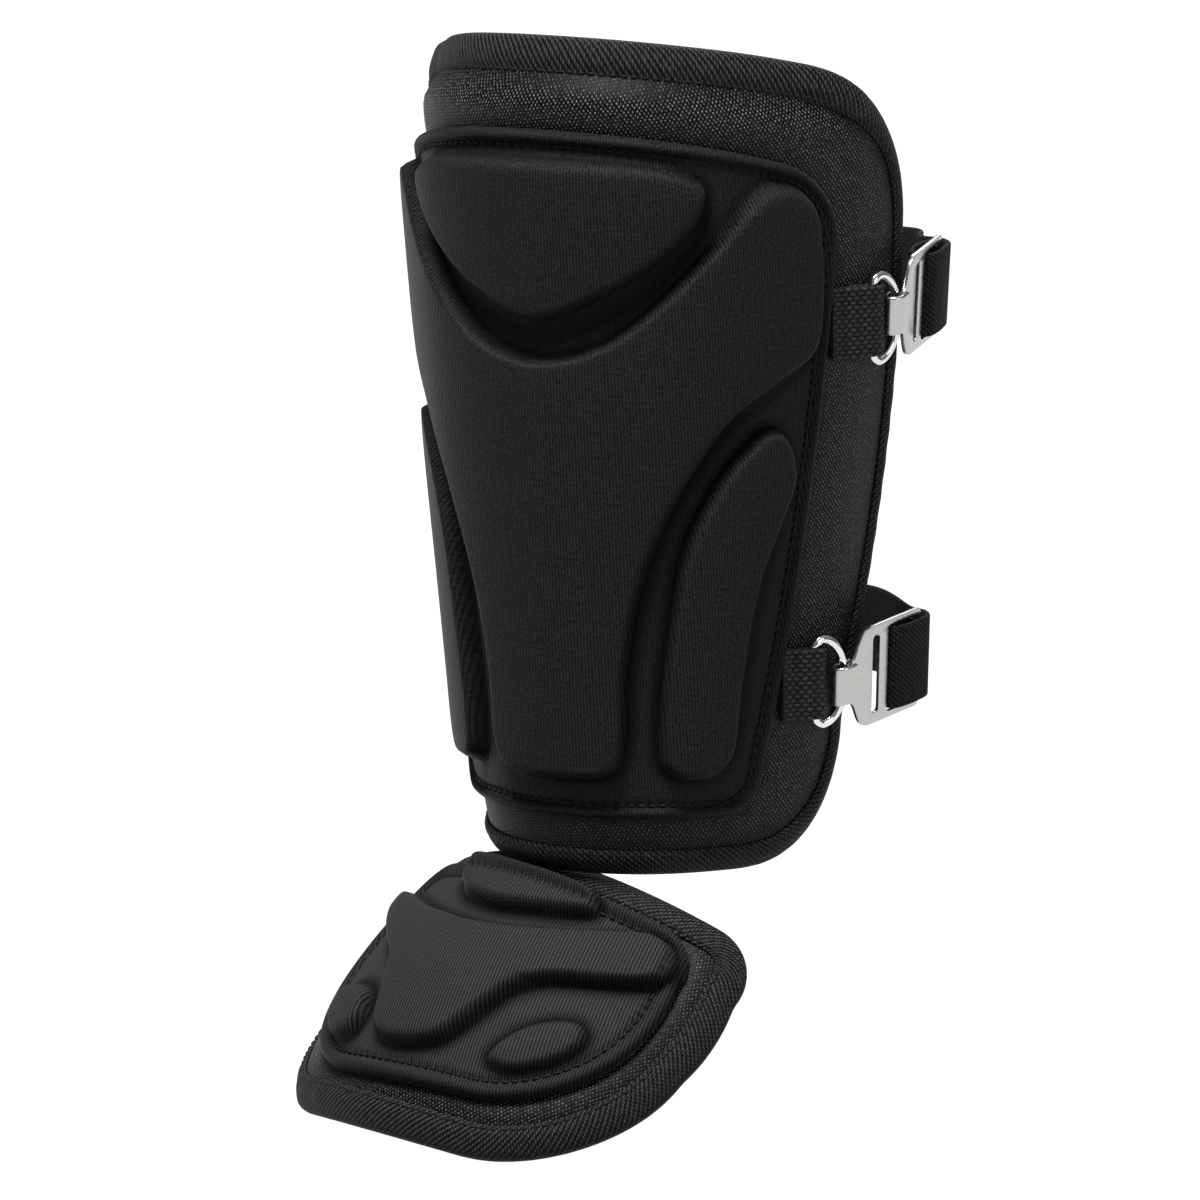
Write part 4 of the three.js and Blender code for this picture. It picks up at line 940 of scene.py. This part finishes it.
# Hook: a stamped plate with two slots, and a tongue bent back under itself to hold the ring.
def makeHook(strap):
    thick, tongue, half, neck = hook["thick"], hook["tongueHalf"], hook["half"], hook["neck"]
    shoulder = bezierRows((neck, -tongue), (neck + hook["neckPull"], -tongue),
                          (neck + hook["shoulderPull"], -half), (hook["shoulder"], -half), 14)
    end = [row for row in roundedBox(hook["shoulder"], hook["length"], half, hook["corner"])
           if row[0] > hook["length"] - hook["corner"] - 0.01]
    upper, lower = [r for r in end if r[1] > 0], [r for r in end if r[1] < 0]
    bend = hook["gap"] / 2 + thick
    start = bend + hook["plateStart"]
    outline = [(start, -tongue)] + shoulder + lower + upper
    outline += [(t, -v) for t, v in shoulder[::-1]] + [(start, tongue)]
    loops = [outline] + [roundedBox(low, high, wide, hook["slotCorner"]) for low, high, wide in hook["slots"]]
    curve = bpy.data.curves.new("plateOutline", "CURVE")
    curve.dimensions = "2D"
    curve.fill_mode = "BOTH"
    curve.extrude = thick / 2 - hook["edge"]
    curve.bevel_depth = hook["edge"]
    curve.bevel_resolution = 2
    curve.offset = -hook["edge"]
    for rows in loops:
        spline = curve.splines.new("POLY")
        spline.points.add(len(rows) - 1)
        for point, (t, v) in zip(spline.points, rows):
            point.co = (t, v, 0, 1)
        spline.use_cyclic_u = True
    blank = addObject("plateBlank", curve)
    plate = workedMesh(blank)
    bpy.data.objects.remove(blank)
    piece = addObject(strap["name"] + "Hook", plate)
    plate.transform(((1, 0, 0, 0), (0, 1, 0, 0), (0, 0, 1, thick / 2), (0, 0, 0, 1)))
    middle = hook["gap"] / 2 + thick / 2
    bendTurn = np.radians(np.linspace(90, 270, 25))
    path = [(neck + hook["overlap"], thick / 2), (neck + 1, thick / 2)]
    path += [(bend + middle * math.cos(a), -hook["gap"] / 2 + middle * math.sin(a)) for a in bendTurn]
    path += [(t, -hook["gap"] - thick / 2) for t in np.linspace(bend + 1, hook["lip"], 6)]
    path = np.asarray(path)
    ahead = unitRows(np.gradient(path, axis=0))
    # a hair thinner than the plate, so that no face of the strip lies in the plate's own plane
    section = bandSection(2 * tongue, thick, 12) * [1, hook["thinner"]]
    t = path[:, 0, None] - ahead[:, 1, None] * section[None, :, 1]
    n = path[:, 1, None] + ahead[:, 0, None] * section[None, :, 1]
    rings = np.stack([t, section[None, :, 0] + 0 * t, n], -1)
    across = np.arange(rings.shape[1] + 1.0)
    strip = sweptPiece(strap["name"] + "Tongue", rings, walkedLength(path), across, False, nickel)
    joined = piece.modifiers.new("tongue", "BOOLEAN")
    joined.operation = "UNION"
    joined.object = strip
    joined.solver = "EXACT"
    whole = workedMesh(piece)
    piece.modifiers.remove(joined)
    bpy.data.objects.remove(strip)
    piece.data = whole
    whole.name = piece.name
    t, v, n = vertexPlaces(whole).T
    whole.vertices.foreach_set("co", hookPoints(strap, t, v, n).ravel())
    whole.materials.clear()
    whole.materials.append(nickel)
    whole.polygons.foreach_set("material_index", np.zeros(len(whole.polygons), np.int32))
    whole.polygons.foreach_set("use_smooth", np.ones(len(whole.polygons), bool))
    whole.set_sharp_from_angle(angle=math.radians(hook["sharp"]))
    turnOutward(whole)
    settle(piece, "hook_plate", strap["name"] + "_hook")
    print(piece.name, "has", len(whole.polygons), "faces")


# Elastic: sewn inside the pad's far edge, round the calf, through the hook's slot and back on itself.
# The eye's rows are places in the hook's frame. The calf's shares run from the hook's side to the far side.
strapEye = [(35, -4), (29, -6), (23.6, -4.6), (21.6, -1.2), (22.4, 2), (26, 3), (30, 3), (34.4, 2.2),
            (37, -1), (38, -7)]
calf = {"shares": (0.68, 0, -0.62), "flatter": 0.28, "climb": 20}


def strapEdge(strap, v, at):
    eye = np.asarray(strapEye, float)
    rows = list(hookPoints(strap, eye[:, 0], np.full(len(eye), v), eye[:, 1]))
    origin = hookPoints(strap, 0, 0, 0) / mm
    for share in calf["shares"]:
        lift = hook["rise"] * calf["climb"] * (1 + share)
        rows.append(np.array([share * origin[0], strap["back"] * (1 - calf["flatter"] * share * share),
                              strap["level"] + lift + v]) * mm)
    tape = binding["solidWidth"]
    deep = (padBackAt(tape, pad["shinBack"]) - binding["solidGap"] - binding["solidThick"]
            - elastic["thick"] / 2 - elastic["clear"])
    sewn = [onShin(-strap["padEdge"] - past, strap["level"] + v, deep)
            for past in (elastic["past"], -tape, -tape - elastic["sewn"])]
    rows += [sewn[0] + np.array([0, elastic["lead"] * mm, 0]), *sewn]
    return curveAt(rows, at * (len(rows) - 1), False)


def makeStrap(strap):
    at = np.linspace(0, 1, elastic["samples"])
    low, high = [strapEdge(strap, side * elastic["width"] / 2, at) for side in (-1, 1)]
    middle, wide = (low + high) / 2, unitRows(high - low)
    face = unitRows(np.cross(np.gradient(low, axis=0), wide))
    section = bandSection(elastic["width"], elastic["thick"], 14) * mm
    rings = middle[:, None] + wide[:, None] * section[None, :, :1] + face[:, None] * section[None, :, 1:]
    across = walkedLength(closeLoop(section)) / mm
    length = walkedLength(middle) / mm
    piece = sweptPiece(strap["name"] + "Strap", rings, length, across, False, elasticCloth)
    settle(piece, "elastic", strap["name"] + "_strap")
    # the sewn end: a box of stitches through the elastic, on the leg's side of the pad
    near, far, half = elastic["boxNear"], elastic["boxFar"], elastic["boxHalf"]
    lift = elastic["thick"] * elastic["threadLift"]
    corners = []
    for back, v in ((near, -half), (near, half), (far, half), (far, -half), (near, -half)):
        k = int(np.searchsorted(length, length[-1] - back)) - 1
        corners.append(middle[k] + wide[k] * v * mm + face[k] * lift * mm)
    path = np.concatenate([np.linspace(a, b, elastic["boxSteps"], endpoint=False)
                           for a, b in zip(corners[:-1], corners[1:])])
    sewRows(strap["name"] + "StrapStitches", [(path, True)], "elastic")


for strapSet in strapSets:
    makeTab(strapSet)
    makeRing(strapSet)
    makeHook(strapSet)
    makeStrap(strapSet)
print("straps made")


# Stage: a pale floor, large soft lights and the camera. The floor is matte paper with an even glow of its
# own, so that it stays plain and pale.
studio = {"floor": "#4d4d4d", "glow": 1.02, "floorSize": 40, "clear": 0.4, "below": 0.05, "horizon": 0.06,
          "zenith": 0.4, "aimHeight": 80}
softboxes = [
    {"name": "key", "azimuth": 0, "elevation": 69, "distance": 3.2, "size": 1.2, "power": 150},
    {"name": "fill", "azimuth": 70, "elevation": 18, "distance": 1.6, "size": 0.8, "power": 5},
    {"name": "rim", "azimuth": 200, "elevation": 45, "distance": 1.8, "size": 1.0, "power": 12},
]
photoView = {"azimuth": 29, "elevation": 9.5, "distance": 3, "lens": 311.4, "sensor": 36, "near": 0.1,
             "far": 60, "height": 92, "right": -11.82, "up": -18.67}


def towards(azimuth, elevation):
    a, e = math.radians(azimuth), math.radians(elevation)
    return Vector((math.sin(a) * math.cos(e), -math.cos(a) * math.cos(e), math.sin(e)))


floorLevel = cadBox[0].z - studio["clear"] * mm
reach = studio["floorSize"] / 2
floorMaterial = newMaterial(
    "mattePaper", Roughness=0.9, Specular_IOR_Level=0.1, Base_Color=linear(studio["floor"]),
    Emission_Color=(1, 1, 1, 1), Emission_Strength=studio["glow"])[0]
floorMesh = bpy.data.meshes.new("floor")
floorCorners = ((-reach, -reach), (reach, -reach), (reach, reach), (-reach, reach))
floorMesh.from_pydata([(x, y, floorLevel) for x, y in floorCorners], [], [(0, 1, 2, 3)])
floorMesh.materials.append(floorMaterial)
floor = addObject("floor", floorMesh)
floor.visible_diffuse = False  # the floor throws no light up onto the dark cloth

aim = Vector((0, 0, studio["aimHeight"] * mm))
for box in softboxes:
    lamp = bpy.data.lights.new(box["name"], "AREA")
    lamp.shape = "DISK"
    lamp.size = box["size"]
    lamp.energy = box["power"]
    light = addObject(box["name"], lamp)
    side = towards(box["azimuth"], box["elevation"])
    light.location = aim + side * box["distance"]
    light.rotation_euler = side.to_track_quat("Z", "Y").to_euler()

world = bpy.data.worlds.new("studio")
world.use_nodes = True
sky = world.node_tree
heading = addNode(sky, "ShaderNodeSeparateXYZ", {0: addNode(sky, "ShaderNodeTexCoord").outputs["Generated"]})
rising = mapRange(sky, heading.outputs["Z"], 0, 1, studio["horizon"], studio["zenith"])
above = calculate(sky, "GREATER_THAN", heading.outputs["Z"], 0)
level = addNode(sky, "ShaderNodeMix", {0: above, 2: studio["below"], 3: rising})
sky.nodes["Background"].inputs["Color"].default_value = (1, 1, 1, 1)
sky.links.new(level.outputs[0], sky.nodes["Background"].inputs["Strength"])
scene.world = world
scene.view_settings.view_transform = "Standard"

back = towards(photoView["azimuth"], photoView["elevation"])
turned = math.radians(photoView["azimuth"])
right = Vector((math.cos(turned), math.sin(turned), 0))
up = back.cross(right)
centre = Vector((0, 0, photoView["height"])) + right * photoView["right"] + up * photoView["up"]
lens = bpy.data.cameras.new("photo")
lens.lens = photoView["lens"]
lens.sensor_width = photoView["sensor"]
camera = addObject("photo", lens)
camera.location = centre * mm + back * photoView["distance"]
camera.rotation_euler = back.to_track_quat("Z", "Y").to_euler()
lens.clip_start, lens.clip_end = photoView["near"], photoView["far"]
scene.camera = camera
print("stage set")
